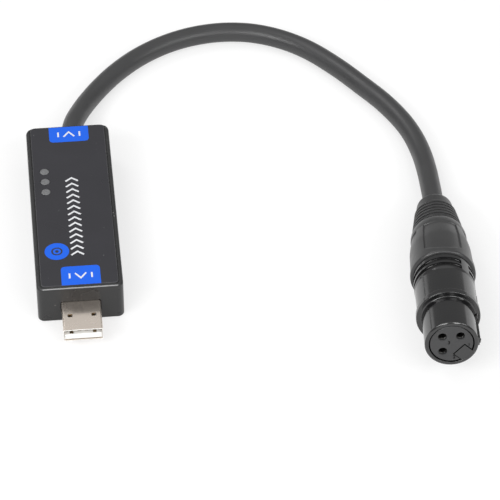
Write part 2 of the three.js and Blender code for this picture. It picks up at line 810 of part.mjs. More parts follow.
// A nylon tie closed round the cord inside the case, which stops it being pulled out
function cableTie() {
  const inner = cableRadius + fineGap;
  const outer = grommetNeckRadius;
  const rear = caseRear - caseWall - grommetInnerFlange - 2 * seatGap;
  const front = rear - tieWidth;
  const band = turned([[inner, front], [outer, front], [outer, rear], [inner, rear]], grommetFacets);
  const headLow = [(inner + outer) / 2, front, -tieHead.width / 2];
  const headHigh = [inner + tieHead.height, rear, tieHead.width / 2];
  const tie = joined(toSolid(band), toSolid(block(headLow, headHigh)));
  const geometry = toGeometry(tie).translate(cableExitX, 0, cableExitHeight);
  return piece('cable_tie', toSolid(geometry), finishes.nylon());
}

const wireFinishes = [finishes.redWire, finishes.bareWire, finishes.whiteWire];

function wiresInCase() {
  const startY = stubInnerEnd - seatGap;
  const endY = boardRear - wireHoleSetback;
  const landing = boardTopHeight + fineGap;
  return [-1, 0, 1].map((side, i) => {
    const startX = cableExitX + side * wireSpread;
    const endX = side * wireHoleSpacing;
    const route = [
      [startX, startY, cableExitHeight],
      [startX + (endX - startX) / 4, startY - (startY - endY) / 3, cableExitHeight],
      [endX, endY + wireRadius / 2, (cableExitHeight + landing) / 2 + wireRadius / 2],
      [endX, endY, landing],
    ];
    const wire = tubeAlong(route, wireRadius, wireSides, wireSteps);
    return piece(`wire_in_case_${i + 1}`, toSolid(wire), wireFinishes[i]());
  });
}

function freeCable() {
  const cable = tubeAlong(cordRoute, cableRadius, cableSides, cableSteps);
  return piece('cable', cable, finishes.jacket());
}

function latchSlot(halfWidth, bottom, start, end, top = latchSlotTop) {
  return toSolid(turnedTo(block([bottom, start, -halfWidth], [top, end, halfWidth]), latchDegrees));
}

function connectorShell() {
  const profile = [
    [shellBoreRadius, 0],
    ...roundCorner(barrelRadius - barrelEdgeRound, barrelEdgeRound, barrelEdgeRound, -90, 0),
    [barrelRadius, flangeFront],
    ...roundCorner(flangeRadius - flangeFrontRound, flangeFront + flangeFrontRound, flangeFrontRound, -90, 0),
    ...roundCorner(flangeRadius - flangeEdgeRound, flangeRear - flangeEdgeRound, flangeEdgeRound, 0, 90),
    [bodyRadius, flangeRear],
    [bodyRadius, collarStart],
    [collarRadius, collarStart + collarRamp],
    [collarRadius, collarEnd],
    [threadRadius, collarEnd],
    [threadRadius, shellEnd],
    [shellBoreRadius, shellEnd],
  ];
  let shell = toSolid(turned(profile, shellFacets));
  // Two ring grooves stop at a plain strip that runs along the body
  const stripReach = collarRadius + cutOverrun;
  const stripLow = [shellBoreRadius, collarStart - cutOverrun, -ringStripWidth / 2];
  const strip = turnedTo(block(stripLow, [stripReach, collarEnd, ringStripWidth / 2]), ringStripDegrees);
  for (const setback of ringGrooveSetbacks) {
    const start = collarStart + setback;
    const floor = collarRadius - ringGrooveDepth;
    const end = start + ringGrooveWidth;
    const ring = turned([[floor, start], [stripReach, start], [stripReach, end], [floor, end]], shellFacets);
    shell = shell.subtract(toSolid(ring).subtract(toSolid(strip)));
  }
  // The key stands inwards from the barrel's wall
  const keyOutside = shellBoreRadius + (barrelRadius - shellBoreRadius) / 2;
  const key = block([keyInnerReach, 0, -keyWidth / 2], [keyOutside, keyLength, keyWidth / 2]);
  shell = shell.add(toSolid(turnedTo(key, keyDegrees)));
  // The latch lies in a slot that passes below the flange, on a pin across the slot's rear end
  const slotEnd = latchPivotSetback + latchEyeRadius + seatGap;
  const slotHalf = latchWidth / 2 + seatGap;
  shell = shell.subtract(latchSlot(slotHalf, latchFloor, latchSlotStart, slotEnd));
  shell = shell.subtract(latchSlot(slotHalf, latchFloor, flangeRear, slotEnd, flangeRadius));
  const pinHalf = latchPinLength / 2 + seatGap;
  const holeRadius = latchPinRadius + fineGap;
  const pinHole = new THREE.CylinderGeometry(holeRadius, holeRadius, 2 * pinHalf, pinFacets);
  pinHole.rotateX(rightAngle).translate(latchPivotRadial, latchPivotSetback, 0);
  shell = shell.subtract(toSolid(turnedTo(pinHole, latchDegrees)));
  return piece('connector_shell', shell, finishes.blackMetal());
}

function connectorInsert() {
  const front = insertFaceSetback;
  const rear = front + insertLength;
  const edge = seatGap;
  const profile = [
    [0, front],
    [insertRadius - edge, front],
    [insertRadius, front + edge],
    [insertRadius, rear],
    [0, rear],
  ];
  let insert = toSolid(turned(profile, shellFacets));
  for (const degrees of contactDegrees) {
    const [x, , z] = aroundAxis(contactCircleRadius, degrees, 0);
    const chamfer = fineGap * 2;
    const hole = turned(
      [
        [0, front - cutOverrun],
        [contactHoleRadius + chamfer + cutOverrun, front - cutOverrun],
        [contactHoleRadius, front + chamfer],
        [contactHoleRadius, front + contactLip],
        [contactRadius + fineGap, front + contactLip],
        [contactRadius + fineGap, rear + cutOverrun],
        [0, rear + cutOverrun],
      ],
      contactFacets,
    ).translate(x, 0, z);
    insert = insert.subtract(toSolid(hole));
  }
  const notchHalf = keyWidth / 2 + seatGap;
  const notchInner = keyInnerReach - seatGap;
  const notch = block([notchInner, -cutOverrun, -notchHalf], [barrelRadius, keyLength + seatGap, notchHalf]);
  insert = insert.subtract(toSolid(turnedTo(notch, keyDegrees)));
  // A flat channel below the latch gives it room to be pressed
  const channelStart = latchSlotStart + seatGap;
  insert = insert.subtract(latchSlot(latchWidth / 2 + seatGap, latchFloor, channelStart, rear + cutOverrun));
  return piece('connector_insert', insert, finishes.insert());
}

function connectorContacts() {
  const front = insertFaceSetback + contactLip + fineGap;
  const cupStart = contactEnd - contactCupDepth;
  return contactDegrees.map((degrees, i) => {
    const [x, , z] = aroundAxis(contactCircleRadius, degrees, 0);
    const profile = [
      [0, front + contactBoreDepth],
      [contactHoleRadius - fineGap / 2, front + contactBoreDepth],
      [contactHoleRadius - fineGap / 2, front],
      [contactRadius, front],
      [contactRadius, contactEnd],
      [contactCupRadius, contactEnd],
      [contactCupRadius, cupStart],
      [0, cupStart],
    ];
    let contact = toSolid(turned(profile, contactFacets).translate(x, 0, z));
    // The solder cup is open on the side that faces away from the axis
    const mouthEnd = contactEnd + cutOverrun;
    const mouth = block([0, cupStart, -contactCupRadius], [2 * contactRadius, mouthEnd, contactCupRadius]);
    turnedTo(mouth, degrees).translate(x, 0, z);
    contact = contact.subtract(toSolid(mouth));
    return piece(`connector_contact_${i + 1}`, contact, finishes.silver());
  });
}

function latchLever() {
  const tip = latchSlotStart + seatGap;
  const hookTop = latchBarRadial + latchHookRise;
  const tabEnd = latchTabStart + latchTabLength;
  const outline = new THREE.Shape();
  outline.moveTo(latchUnderside, tip);
  outline.lineTo(latchBarRadial, tip);
  outline.lineTo(hookTop, tip + latchHookRise);
  outline.lineTo(hookTop, tip + latchHookLength);
  outline.lineTo(latchBarRadial, tip + latchHookLength + latchHookRise);
  outline.lineTo(latchBarRadial, latchTabStart - latchTabRamp);
  outline.lineTo(latchTabRadial, latchTabStart);
  outline.lineTo(latchTabRadial, tabEnd);
  outline.lineTo(latchPivotRadial + latchEyeRadius, tabEnd + latchTabRamp);
  outline.lineTo(latchPivotRadial + latchEyeRadius, latchPivotSetback);
  outline.absarc(latchPivotRadial, latchPivotSetback, latchEyeRadius, 0, 2 * rightAngle);
  outline.lineTo(latchPivotRadial - latchEyeRadius, latchPivotSetback - latchEyeRadius);
  outline.lineTo(latchUnderside, latchPivotSetback - 2 * latchEyeRadius);
  outline.closePath();
  const eye = new THREE.Path();
  eye.absarc(latchPivotRadial, latchPivotSetback, latchPinRadius + fineGap, 0, fullTurn, true);
  outline.holes.push(eye);
  const lever = raised(outline, -latchWidth / 2, latchWidth / 2);
  return piece('latch_lever', toSolid(turnedTo(lever, latchDegrees)), finishes.blackMetal());
}

function latchPin() {
  const pin = new THREE.CylinderGeometry(latchPinRadius, latchPinRadius, latchPinLength, pinFacets);
  pin.rotateX(rightAngle).translate(latchPivotRadial, latchPivotSetback, 0);
  return piece('latch_pin', toSolid(turnedTo(pin, latchDegrees)), finishes.silver());
}

// A bent leaf spring lies in the insert's channel, and its free end reaches up to the lever
function latchSpring() {
  const low = latchFloor + fineGap;
  const high = latchUnderside - seatGap - springThickness;
  const footEnd = springStart + springFootLength;
  const tipStart = footEnd + springRiseLength;
  const tipEnd = tipStart + springTipLength;
  const side = straightOutline([
    [low, springStart],
    [low, footEnd],
    [high, tipStart],
    [high, tipEnd],
    [high + springThickness, tipEnd],
    [high + springThickness, tipStart - springThickness],
    [low + springThickness, footEnd - springThickness],
    [low + springThickness, springStart],
  ]);
  const leaf = raised(side, -springWidth / 2, springWidth / 2);
  return piece('latch_spring', toSolid(turnedTo(leaf, latchDegrees)), finishes.silver());
}

// The nut's outside radius at a setback from its front face
function nutRadiusAt(distance) {
  const middle = nutLength * nutMiddleShare;
  if (distance < middle) return THREE.MathUtils.lerp(nutFrontRadius, nutMiddleRadius, distance / middle);
  const rest = (distance - middle) / (nutLength - middle);
  return THREE.MathUtils.lerp(nutMiddleRadius, nutRearRadius, rest ** nutTaperPower);
}

function glandNut() {
  const outside = roundCorner(
    nutFrontRadius - nutFrontRound, nutStart + nutFrontRound, nutFrontRound, -90, 0, sheetSteps,
  );
  for (let i = 1; i <= nutStations; i += 1) {
    const distance = THREE.MathUtils.lerp(nutFrontRound, nutLength - nutEdgeRound, i / nutStations);
    outside.push([nutRadiusAt(distance), nutStart + distance]);
  }
  outside.push([nutRearRadius - nutEdgeRound, nutEnd]);
  const profile = [
    [nutBore, nutStart],
    ...outside,
    [nutRearBore, nutEnd],
    [nutRearBore, nutSeatEnd],
    [nutSeatRadius, nutSeatStart],
    [nutBore, nutSeatStart],
  ];
  let nut = toSolid(turned(profile, nutFacets));
  // Four panels are sunk into the outside as finger grips, deepest along their edges
  const halfAngle = THREE.MathUtils.degToRad(nutPanelDegrees / 2);
  const reach = nutFrontRadius + cutOverrun;
  const sector = new THREE.Shape();
  sector.absarc(0, 0, reach, -halfAngle, halfAngle);
  for (let k = 0; k <= holeSteps; k += 1) {
    const side = 1 - (2 * k) / holeSteps;
    const depth = nutPanelDepth * THREE.MathUtils.lerp(nutPanelCrownShare, 1, side * side);
    const floor = nutFrontRadius - depth;
    sector.lineTo(floor * Math.cos(side * halfAngle), floor * Math.sin(side * halfAngle));
  }
  sector.closePath();
  const options = {
    depth: nutPanelLength, steps: nutStations, bevelEnabled: false, curveSegments: holeSteps,
  };
  for (let i = 0; i < nutPanelCount; i += 1) {
    const panel = new THREE.ExtrudeGeometry(sector, options);
    panel.rotateX(-rightAngle).translate(0, nutStart + nutPanelStart, 0);
    const corners = panel.attributes.position;
    for (let k = 0; k < corners.count; k += 1) {
      const distance = corners.getY(k) - nutStart;
      const radius = Math.hypot(corners.getX(k), corners.getZ(k));
      const scale = (radius - nutFrontRadius + nutRadiusAt(distance)) / radius;
      corners.setX(k, corners.getX(k) * scale);
      corners.setZ(k, corners.getZ(k) * scale);
    }
    const degrees = 90 + (i * 360) / nutPanelCount;
    nut = nut.subtract(toSolid(turnedTo(panel, degrees)));
  }
  return piece('gland_nut', nut, finishes.nylon());
}

// A slit sleeve that the nut closes on the cord
function clampSleeve() {
  const outer = shellBoreRadius - seatGap;
  const coneStart = nutSeatStart - seatGap;
  const coneEndRadius = nutRearBore - seatGap;
  const profile = [
    [cableBore, sleeveStart],
    [outer, sleeveStart],
    [outer, coneStart],
    [coneEndRadius, sleeveEnd],
    [cableBore, sleeveEnd],
  ];
  let sleeve = toSolid(turned(profile, sleeveFacets));
  const slotStart = sleeveStart + sleeveLength / 3;
  const slotLow = [-shellBoreRadius, slotStart, -sleeveSlotWidth / 2];
  const slotHigh = [shellBoreRadius, sleeveEnd + cutOverrun, sleeveSlotWidth / 2];
  for (const degrees of [0, 90]) {
    sleeve = sleeve.subtract(toSolid(turnedTo(block(slotLow, slotHigh), degrees)));
  }
  return piece('clamp_sleeve', sleeve, finishes.nylon());
}

// The boot tapers evenly over its ribs, from its base to its neck
function bootRadiusAt(distance) {
  const share = (distance - bootBaseLength) / (bootRibCount * bootRibPitch);
  return THREE.MathUtils.lerp(bootBaseRadius, bootNeckRadius, share);
}

function boot() {
  const grooveWidth = bootRibPitch * bootGrooveShare;
  const edge = seatGap;
  const outside = [
    [bootBaseRadius - edge, bootStart],
    [bootBaseRadius, bootStart + edge],
  ];
  for (let i = 0; i < bootRibCount; i += 1) {
    const start = bootBaseLength + i * bootRibPitch;
    const radius = bootRadiusAt(start);
    const after = bootRadiusAt(start + grooveWidth);
    outside.push([radius, bootStart + start]);
    outside.push([radius - bootGrooveDepth, bootStart + start + fineGap]);
    outside.push([after - bootGrooveDepth, bootStart + start + grooveWidth - fineGap]);
    outside.push([after, bootStart + start + grooveWidth]);
  }
  const neckEnd = bootStart + bootBaseLength + bootRibCount * bootRibPitch;
  outside.push([bootNeckRadius, neckEnd], [bootShoulderRadius, neckEnd + bootShoulderLength]);
  const tipCentre = [bootTipRadius - bootTipRound, bootEnd - bootTipRound];
  outside.push(...roundCorner(...tipCentre, bootTipRound, 0, 90, sheetSteps));
  const profile = [
    [cableBore, bootSpigotStart],
    [bootSpigotRadius, bootSpigotStart],
    [bootSpigotRadius, bootStart],
    ...outside,
    [cableBore, bootEnd],
  ];
  return piece('boot', toSolid(turned(profile, bootFacets)), finishes.rubber());
}

function cableInConnector() {
  const stub = runAlongY(circleOutline(cableRadius), stubConnectorEnd, bootEnd, cordSteps);
  return piece('cable_in_connector', toSolid(stub), finishes.jacket());
}

function wiresInConnector() {
  const start = contactEnd + fineGap;
  const end = stubConnectorEnd - fineGap;
  return contactDegrees.map((degrees, i) => {
    const route = [
      aroundAxis(contactCircleRadius, degrees, start),
      aroundAxis(contactCircleRadius, degrees, start + (end - start) / 4),
      aroundAxis((contactCircleRadius + wireSpread) / 2, degrees, (start + end) / 2),
      aroundAxis(wireSpread, degrees, end - (end - start) / 4),
      aroundAxis(wireSpread, degrees, end),
    ];
    const wire = tubeAlong(route, wireRadius, wireSides, wireSteps);
    return piece(`wire_in_connector_${i + 1}`, toSolid(wire), wireFinishes[i]());
  });
}

const connector = new THREE.Group();
connector.add(
  connectorShell(),
  connectorInsert(),
  ...connectorContacts(),
  latchLever(),
  latchPin(),
  latchSpring(),
  glandNut(),
  clampSleeve(),
  boot(),
  cableInConnector(),
  ...wiresInConnector(),
);
connector.rotation.order = 'ZYX';
connector.rotation.set(
  THREE.MathUtils.degToRad(connectorTiltDegrees),
  0,
  THREE.MathUtils.degToRad(connectorTurnDegrees),
);
connector.position.set(connectorFaceX, connectorFaceY, connectorFaceHeight);

const usbInterface = new THREE.Group();
usbInterface.add(
  caseCover(),
  basePlate(),
  labelOverlay(),
  ...lightWindows(),
  usbShell(),
  usbTongue(),
  ...usbContacts(),
  circuitBoard(),
  leadedChip('bridge_chip', bridgeChip, placeShares.bridge),
  leadedChip('driver_chip', driverChip, placeShares.driver),
  ...radioModule(),
  crystal(),
  bufferCapacitor(),
  ...lamps(),
  ...chipRow('chip_resistor', chipResistor, placeShares.resistors, finishes.resistor),
  ...chipRow('chip_capacitor', chipCapacitor, placeShares.capacitors, finishes.ceramic),
  cableGrommet(),
  cableInCase(),
  cableTie(),
  ...wiresInCase(),
  freeCable(),
  connector,
);

export default usbInterface;
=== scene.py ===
import math

import bmesh
import bpy
from mathutils import Matrix, Vector


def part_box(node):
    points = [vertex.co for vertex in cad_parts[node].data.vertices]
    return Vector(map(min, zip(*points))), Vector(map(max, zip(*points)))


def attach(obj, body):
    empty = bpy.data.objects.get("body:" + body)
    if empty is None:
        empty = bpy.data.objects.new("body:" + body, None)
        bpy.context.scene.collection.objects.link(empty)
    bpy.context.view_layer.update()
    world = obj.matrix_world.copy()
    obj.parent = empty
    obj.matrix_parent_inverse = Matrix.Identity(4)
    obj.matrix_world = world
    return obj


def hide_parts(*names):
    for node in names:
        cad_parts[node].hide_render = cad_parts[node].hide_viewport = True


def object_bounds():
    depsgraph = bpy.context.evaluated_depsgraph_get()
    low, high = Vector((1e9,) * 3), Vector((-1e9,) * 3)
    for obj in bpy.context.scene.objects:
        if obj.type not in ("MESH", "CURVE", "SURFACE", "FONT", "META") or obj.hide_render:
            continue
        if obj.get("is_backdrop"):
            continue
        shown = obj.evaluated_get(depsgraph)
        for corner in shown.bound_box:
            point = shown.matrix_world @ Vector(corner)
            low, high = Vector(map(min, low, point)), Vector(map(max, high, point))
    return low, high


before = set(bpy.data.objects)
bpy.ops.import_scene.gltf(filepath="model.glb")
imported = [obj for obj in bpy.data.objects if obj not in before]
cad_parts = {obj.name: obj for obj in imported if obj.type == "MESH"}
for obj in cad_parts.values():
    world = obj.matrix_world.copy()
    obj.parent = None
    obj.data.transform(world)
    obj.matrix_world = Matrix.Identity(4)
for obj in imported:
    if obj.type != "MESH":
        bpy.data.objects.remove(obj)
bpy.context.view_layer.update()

scene = bpy.context.scene
scene.view_settings.view_transform = "Standard"

# The camera.
# It looks down at the interface over its USB plug, from one metre away and through a long lens.
CAMERA_LENS, CAMERA_FILM, CAMERA_REACH = 230.07, 36, 10
CAMERA_PLACE, CAMERA_TARGET = (-0.0157, -0.7411, 0.6805), (0.0542, -0.0117, 0)
camera_data = bpy.data.cameras.new("camera")
camera_data.lens = CAMERA_LENS
camera_data.sensor_width = CAMERA_FILM
camera_data.clip_end = CAMERA_REACH
camera = bpy.data.objects.new("camera", camera_data)
scene.collection.objects.link(camera)
camera.location = CAMERA_PLACE
camera.rotation_euler = (Vector(CAMERA_TARGET) - camera.location).to_track_quat("-Z", "Y").to_euler()
scene.camera = camera

# The cord.
# A round three-core lead in a soft matt PVC jacket. It leaves the case, bows round on the table and
# rises into the connector's boot, all in one extruded length.
MM = 0.001
CORD_RADIUS = 3.25
CORD_STEPS, LEAD_STEPS = 14, 8
CORD_ROUTE = [
    (1.2, 39.55, 6.5), (1.39, 42.0, 6.45), (1.92, 45.2, 6.25), (2.95, 49.1, 5.8),
    (5.15, 54.95, 4.73), (8.2, 61.3, 3.78), (12.45, 68.1, 3.3), (18.1, 75.0, 3.3),
    (25.6, 82.0, 3.3), (34.7, 87.8, 3.3), (44.4, 91.4, 3.3), (54.2, 92.65, 3.3),
    (64.0, 91.45, 3.3), (73.1, 87.65, 3.3), (81.8, 81.3, 3.3), (90.5, 71.45, 3.3),
    (98.1, 60.7, 3.3), (104.3, 51.2, 3.3), (109.1, 41.4, 3.3), (111.6, 33.5, 3.35),
    (113.0, 25.0, 3.68), (113.5, 16.0, 4.45), (113.42, 6.3, 5.45), (113.17, -3.05, 6.42),
]


def bent_through(stops, steps):
    """Points on a smooth bend through the stops, as the drawing of the cord has it."""
    stops = [Vector(stop) for stop in stops]
    stops = [2 * stops[0] - stops[1], *stops, 2 * stops[-1] - stops[-2]]
    points = [stops[1]]
    for before, start, end, after in zip(stops, stops[1:], stops[2:], stops[3:]):
        reach = [math.sqrt((q - p).length) for p, q in ((before, start), (start, end), (end, after))]
        leave = (start - before) / reach[0] - (end - before) / (reach[0] + reach[1])
        leave = (leave + (end - start) / reach[1]) * reach[1]
        arrive = (end - start) / reach[1] - (after - start) / (reach[1] + reach[2])
        arrive = (arrive + (after - end) / reach[2]) * reach[1]
        for step in range(1, steps + 1):
            t = step / steps
            across = start + leave * t
            across += (3 * (end - start) - 2 * leave - arrive) * t ** 2
            across += (2 * (start - end) + leave + arrive) * t ** 3
            points.append(across)
    return points


def drawn_wire(name, points, radius, place=Matrix()):
    """A round wire or cord along points in millimetres."""
    line = bpy.data.curves.new(name, "CURVE")
    line.dimensions = "3D"
    line.bevel_depth = radius * MM
    line.bevel_resolution = 7
    line.use_fill_caps = True
    line.twist_mode = "MINIMUM"
    spline = line.splines.new("POLY")
    spline.points.add(len(points) - 1)
    for spot, point in zip(spline.points, points):
        spot.co = (*(place @ Vector(point) * MM), 1)
    wire = bpy.data.objects.new(name, line)
    scene.collection.objects.link(wire)
    return wire


def coating(name, colour, roughness, drift=0.12, drift_size=9, gloss_drift=0.05,
            grain=0.35, grain_size=0.22, lift=0.012, metallic=0, specular=0.5):
    """A skin whose shade and gloss drift a little over drift_size, with a fine grain on it.
    Sizes are in millimetres."""
    material = bpy.data.materials.new(name)
    material.use_nodes = True
    nodes, links = material.node_tree.nodes, material.node_tree.links
    shader = nodes["Principled BSDF"]
    shader.inputs["Metallic"].default_value = metallic
    shader.inputs["Specular IOR Level"].default_value = specular
    where = nodes.new("ShaderNodeTexCoord")
    cloud = nodes.new("ShaderNodeTexNoise")
    cloud.inputs["Scale"].default_value = 1 / (drift_size * MM)
    cloud.inputs["Detail"].default_value = 3
    links.new(where.outputs["Object"], cloud.inputs["Vector"])
    shade = nodes.new("ShaderNodeMix")
    shade.name = "shade"
    shade.data_type = "RGBA"
    shade.inputs["A"].default_value = (*[c * (1 - drift) for c in colour], 1)
    shade.inputs["B"].default_value = (*[min(1, c * (1 + drift)) for c in colour], 1)
    links.new(cloud.outputs["Fac"], shade.inputs["Factor"])
    links.new(shade.outputs["Result"], shader.inputs["Base Color"])
    gloss = nodes.new("ShaderNodeMapRange")
    gloss.name = "gloss"
    gloss.inputs["From Min"].default_value = 0.3
    gloss.inputs["From Max"].default_value = 0.7
    gloss.inputs["To Min"].default_value = roughness - gloss_drift
    gloss.inputs["To Max"].default_value = roughness + gloss_drift
    links.new(cloud.outputs["Fac"], gloss.inputs["Value"])
    links.new(gloss.outputs["Result"], shader.inputs["Roughness"])
    speckle = nodes.new("ShaderNodeTexNoise")
    speckle.name = "speckle"
    speckle.inputs["Scale"].default_value = 1 / (grain_size * MM)
    speckle.inputs["Detail"].default_value = 2
    links.new(where.outputs["Object"], speckle.inputs["Vector"])
    relief = nodes.new("ShaderNodeBump")
    relief.name = "relief"
    relief.inputs["Strength"].default_value = grain
    relief.inputs["Distance"].default_value = lift * MM
    links.new(speckle.outputs["Fac"], relief.inputs["Height"])
    links.new(relief.outputs["Normal"], shader.inputs["Normal"])
    return material


def mounted(piece, body, slot, skin, *nodes):
    """The piece gets its skin, moves with its body and stands for its solids."""
    piece.data.materials.clear()
    piece.data.materials.append(skin)
    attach(piece, body)
    if nodes:
        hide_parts(*nodes)
    return piece


jacket = coating(
    "matt_pvc_jacket", (0.035, 0.035, 0.036), 0.42, grain=0.5, grain_size=0.35, specular=0.6
)
cord = drawn_wire("cord", bent_through(CORD_ROUTE, CORD_STEPS), CORD_RADIUS)
mounted(cord, "interface", "jacket", jacket, "cable")

# The case.
# Two mouldings in black ABS: a deep cover with a recess for its label, and a base plate that snaps
# in from below. The cover is one shell with soft outer edges, open for the plug and for the cord.
CASE_WIDTH, CASE_LENGTH, CASE_HEIGHT = 26.4, 75.8, 13.5
CASE_CORNER, CASE_REAR_CORNER, CASE_EDGE, CASE_WALL = 2.0, 3.2, 0.7, 1.6
CASE_REAR = CASE_LENGTH / 2
ROOF_UNDERSIDE = 11.5
PLATE_THICKNESS, PLATE_RIM, PLATE_CORNER, CAVITY_CORNER = 1.5, 1.0, 1, 0.4
LABEL_RIM, LABEL_FLOOR, LABEL_TOP, LABEL_CORNER = 1.15, 12.95, 13.4, 1.1
SEAT_GAP, FINE_GAP = 0.3, 0.1
OVERRUN = 1
PLUG_WIDTH, PLUG_HEIGHT, PLUG_CENTRE, PLUG_CORNER, PLUG_GAP = 12.0, 4.5, 5.6, 0.6, 0.2
CORD_X, CORD_Z = 1.2, 6.5
GROMMET_NECK = 4.1575
LENS_RADIUS, LENS_X, LENS_Y = 1.4, -8.2, (16.2, 11.4, 6.6)
EDGE_STEPS = 6
EDGE_HIGHLIGHT_START, EDGE_HIGHLIGHT_END = 50.92, 50.98


def rounded(width, length, radius, x=0, y=0, steps=8, far_radius=None):
    """A rectangle with round corners, as a list of (x, y); the two far ones may be rounder."""
    outline = []
    far = radius if far_radius is None else far_radius
    corners = ((1, -1, -90, radius), (1, 1, 0, far), (-1, 1, 90, far), (-1, -1, 180, radius))
    for side, end, start, bend in corners:
        for step in range(steps + 1):
            angle = math.radians(start + 90 * step / steps)
            outline.append((
                x + side * (width / 2 - bend) + bend * math.cos(angle),
                y + end * (length / 2 - bend) + bend * math.sin(angle),
            ))
    return outline


def lofted(rings, closed=False):
    """Faces between one ring of points and the next, with both ends filled unless it closes."""
    count = len(rings[0])
    points = [point for ring in rings for point in ring]
    faces = []
    for i in range(len(rings) if closed else len(rings) - 1):
        low, high = i * count, ((i + 1) % len(rings)) * count
        for k in range(count):
            n = (k + 1) % count
            faces.append((low + k, low + n, high + n, high + k))
    if not closed:
        faces.append(tuple(range(count))[::-1])
        faces.append(tuple(range(len(points) - count, len(points))))
    return points, faces


def formed(name, points, faces):
    """A closed solid in millimetres, with its faces turned outwards."""
    mesh = bpy.data.meshes.new(name)
    mesh.from_pydata([tuple(point) for point in points], [], faces)
    build = bmesh.new()
    build.from_mesh(mesh)
    bmesh.ops.remove_doubles(build, verts=build.verts, dist=1e-5)
    bmesh.ops.dissolve_degenerate(build, edges=build.edges, dist=1e-5)
    bmesh.ops.recalc_face_normals(build, faces=build.faces)
    build.to_mesh(mesh)
    build.free()
    solid = bpy.data.objects.new(name, mesh)
    scene.collection.objects.link(solid)
    return solid


def upright(outline, heights):
    """Rings of one outline in X and Y, or of one for each height."""
    if not isinstance(outline[0][0], (list, tuple)):
        outline = [outline] * len(heights)
    return [[(x, y, z) for x, y in ring] for ring, z in zip(outline, heights)]


def along_y(outline, stations):
    """Rings of one outline in X and Z, run along Y."""
    return [[(x, station, z) for x, z in outline] for station in stations]


def carved(solid, cutter, way="DIFFERENCE"):
    """The solid with the cutter taken out of it, or joined on to it."""
    tool = solid.modifiers.new("carve", "BOOLEAN")
    tool.object = cutter
    tool.operation = way
    tool.solver = "EXACT"
    shown = solid.evaluated_get(bpy.context.evaluated_depsgraph_get())
    mesh = bpy.data.meshes.new_from_object(shown)
    solid.modifiers.clear()
    spent = [solid.data, cutter.data]
    solid.data = mesh
    bpy.data.objects.remove(cutter)
    for used in spent:
        bpy.data.meshes.remove(used)
    mesh.name = solid.name
    return solid


def dressed(solid, place=Matrix(), sharp=32):
    """The solid in metres and in its place, smooth except at edges over the given degrees."""
    mesh = solid.data
    mesh.transform(Matrix.Scale(MM, 4) @ place)
    mesh.polygons.foreach_set("use_smooth", [True] * len(mesh.polygons))
    mesh.set_sharp_from_angle(angle=math.radians(sharp))
    weigh = solid.modifiers.new("even_shading", "WEIGHTED_NORMAL")
    weigh.keep_sharp = True
    mesh.update()
    return solid


def worn(material, pale, size, share):
    """Small pale dust specks and rubbed spots on a dark skin."""
    nodes, links = material.node_tree.nodes, material.node_tree.links
    where = nodes.new("ShaderNodeTexCoord")
    dust = nodes.new("ShaderNodeTexNoise")
    dust.inputs["Scale"].default_value = 1 / (size * MM)
    dust.inputs["Detail"].default_value = 1
    links.new(where.outputs["Object"], dust.inputs["Vector"])
    spots = nodes.new("ShaderNodeMapRange")
    spots.inputs["From Min"].default_value = share
    spots.inputs["From Max"].default_value = share + 0.05
    links.new(dust.outputs["Fac"], spots.inputs["Value"])
    dusty = nodes.new("ShaderNodeMix")
    dusty.data_type = "RGBA"
    dusty.inputs["B"].default_value = (*pale, 1)
    links.new(nodes["shade"].outputs["Result"], dusty.inputs["A"])
    links.new(spots.outputs["Result"], dusty.inputs["Factor"])
    links.new(dusty.outputs["Result"], nodes["Principled BSDF"].inputs["Base Color"])
    return material


def case_outline(inset):
    """The case seen from above, drawn in by the inset."""
    width, length = CASE_WIDTH - 2 * inset, CASE_LENGTH - 2 * inset
    return rounded(width, length, CASE_CORNER - inset, far_radius=CASE_REAR_CORNER - inset)


edge_angles = [math.radians(90 * step / EDGE_STEPS) for step in range(EDGE_STEPS + 1)]
insets = [CASE_EDGE * (1 - math.sin(a)) for a in edge_angles]
heights = [CASE_EDGE * (1 - math.cos(a)) for a in edge_angles]
case_rings = upright([case_outline(i) for i in insets], heights)
case_rings += upright(
    [case_outline(i) for i in reversed(insets)], [CASE_HEIGHT - h for h in reversed(heights)]
)
case = formed("case_shell", *lofted(case_rings))

plate_opening = rounded(CASE_WIDTH - 2 * PLATE_RIM, CASE_LENGTH - 2 * PLATE_RIM, PLATE_CORNER)
cavity = rounded(CASE_WIDTH - 2 * CASE_WALL, CASE_LENGTH - 2 * CASE_WALL, CAVITY_CORNER)
plate_top = PLATE_THICKNESS + SEAT_GAP
hollow_heights = [-OVERRUN, plate_top, plate_top, ROOF_UNDERSIDE]
hollow_rings = upright([plate_opening] * 2 + [cavity] * 2, hollow_heights)
carved(case, formed("hollow", *lofted(hollow_rings)))

recess_length = CASE_LENGTH - LABEL_RIM + OVERRUN
recess_centre = -CASE_LENGTH / 2 + LABEL_RIM + recess_length / 2
recess_width = CASE_WIDTH - 2 * LABEL_RIM
flare = [(0, LABEL_FLOOR), (0, 13.38), (0.035, 13.455), (0.12, CASE_HEIGHT), (0.12, CASE_HEIGHT + OVERRUN)]
recess_rings = upright(
    [
        rounded(recess_width + 2 * out, recess_length + 2 * out, LABEL_CORNER + out, 0, recess_centre)
        for out, height in flare
    ],
    [height for out, height in flare],
)
carved(case, formed("label_recess", *lofted(recess_rings)))

plug_opening = rounded(
    PLUG_WIDTH + 2 * PLUG_GAP, PLUG_HEIGHT + 2 * PLUG_GAP, PLUG_CORNER + PLUG_GAP, 0, PLUG_CENTRE
)
front_stations = [-CASE_LENGTH / 2 - OVERRUN, -CASE_LENGTH / 2 + CASE_WALL + OVERRUN]
carved(case, formed("plug_opening", *lofted(along_y(plug_opening, front_stations))))


def circle(radius, x, y, facets=48):
    """A circle as a list of points."""
    turns = [2 * math.pi * k / facets for k in range(facets)]
    return [(x + radius * math.cos(t), y + radius * math.sin(t)) for t in turns]


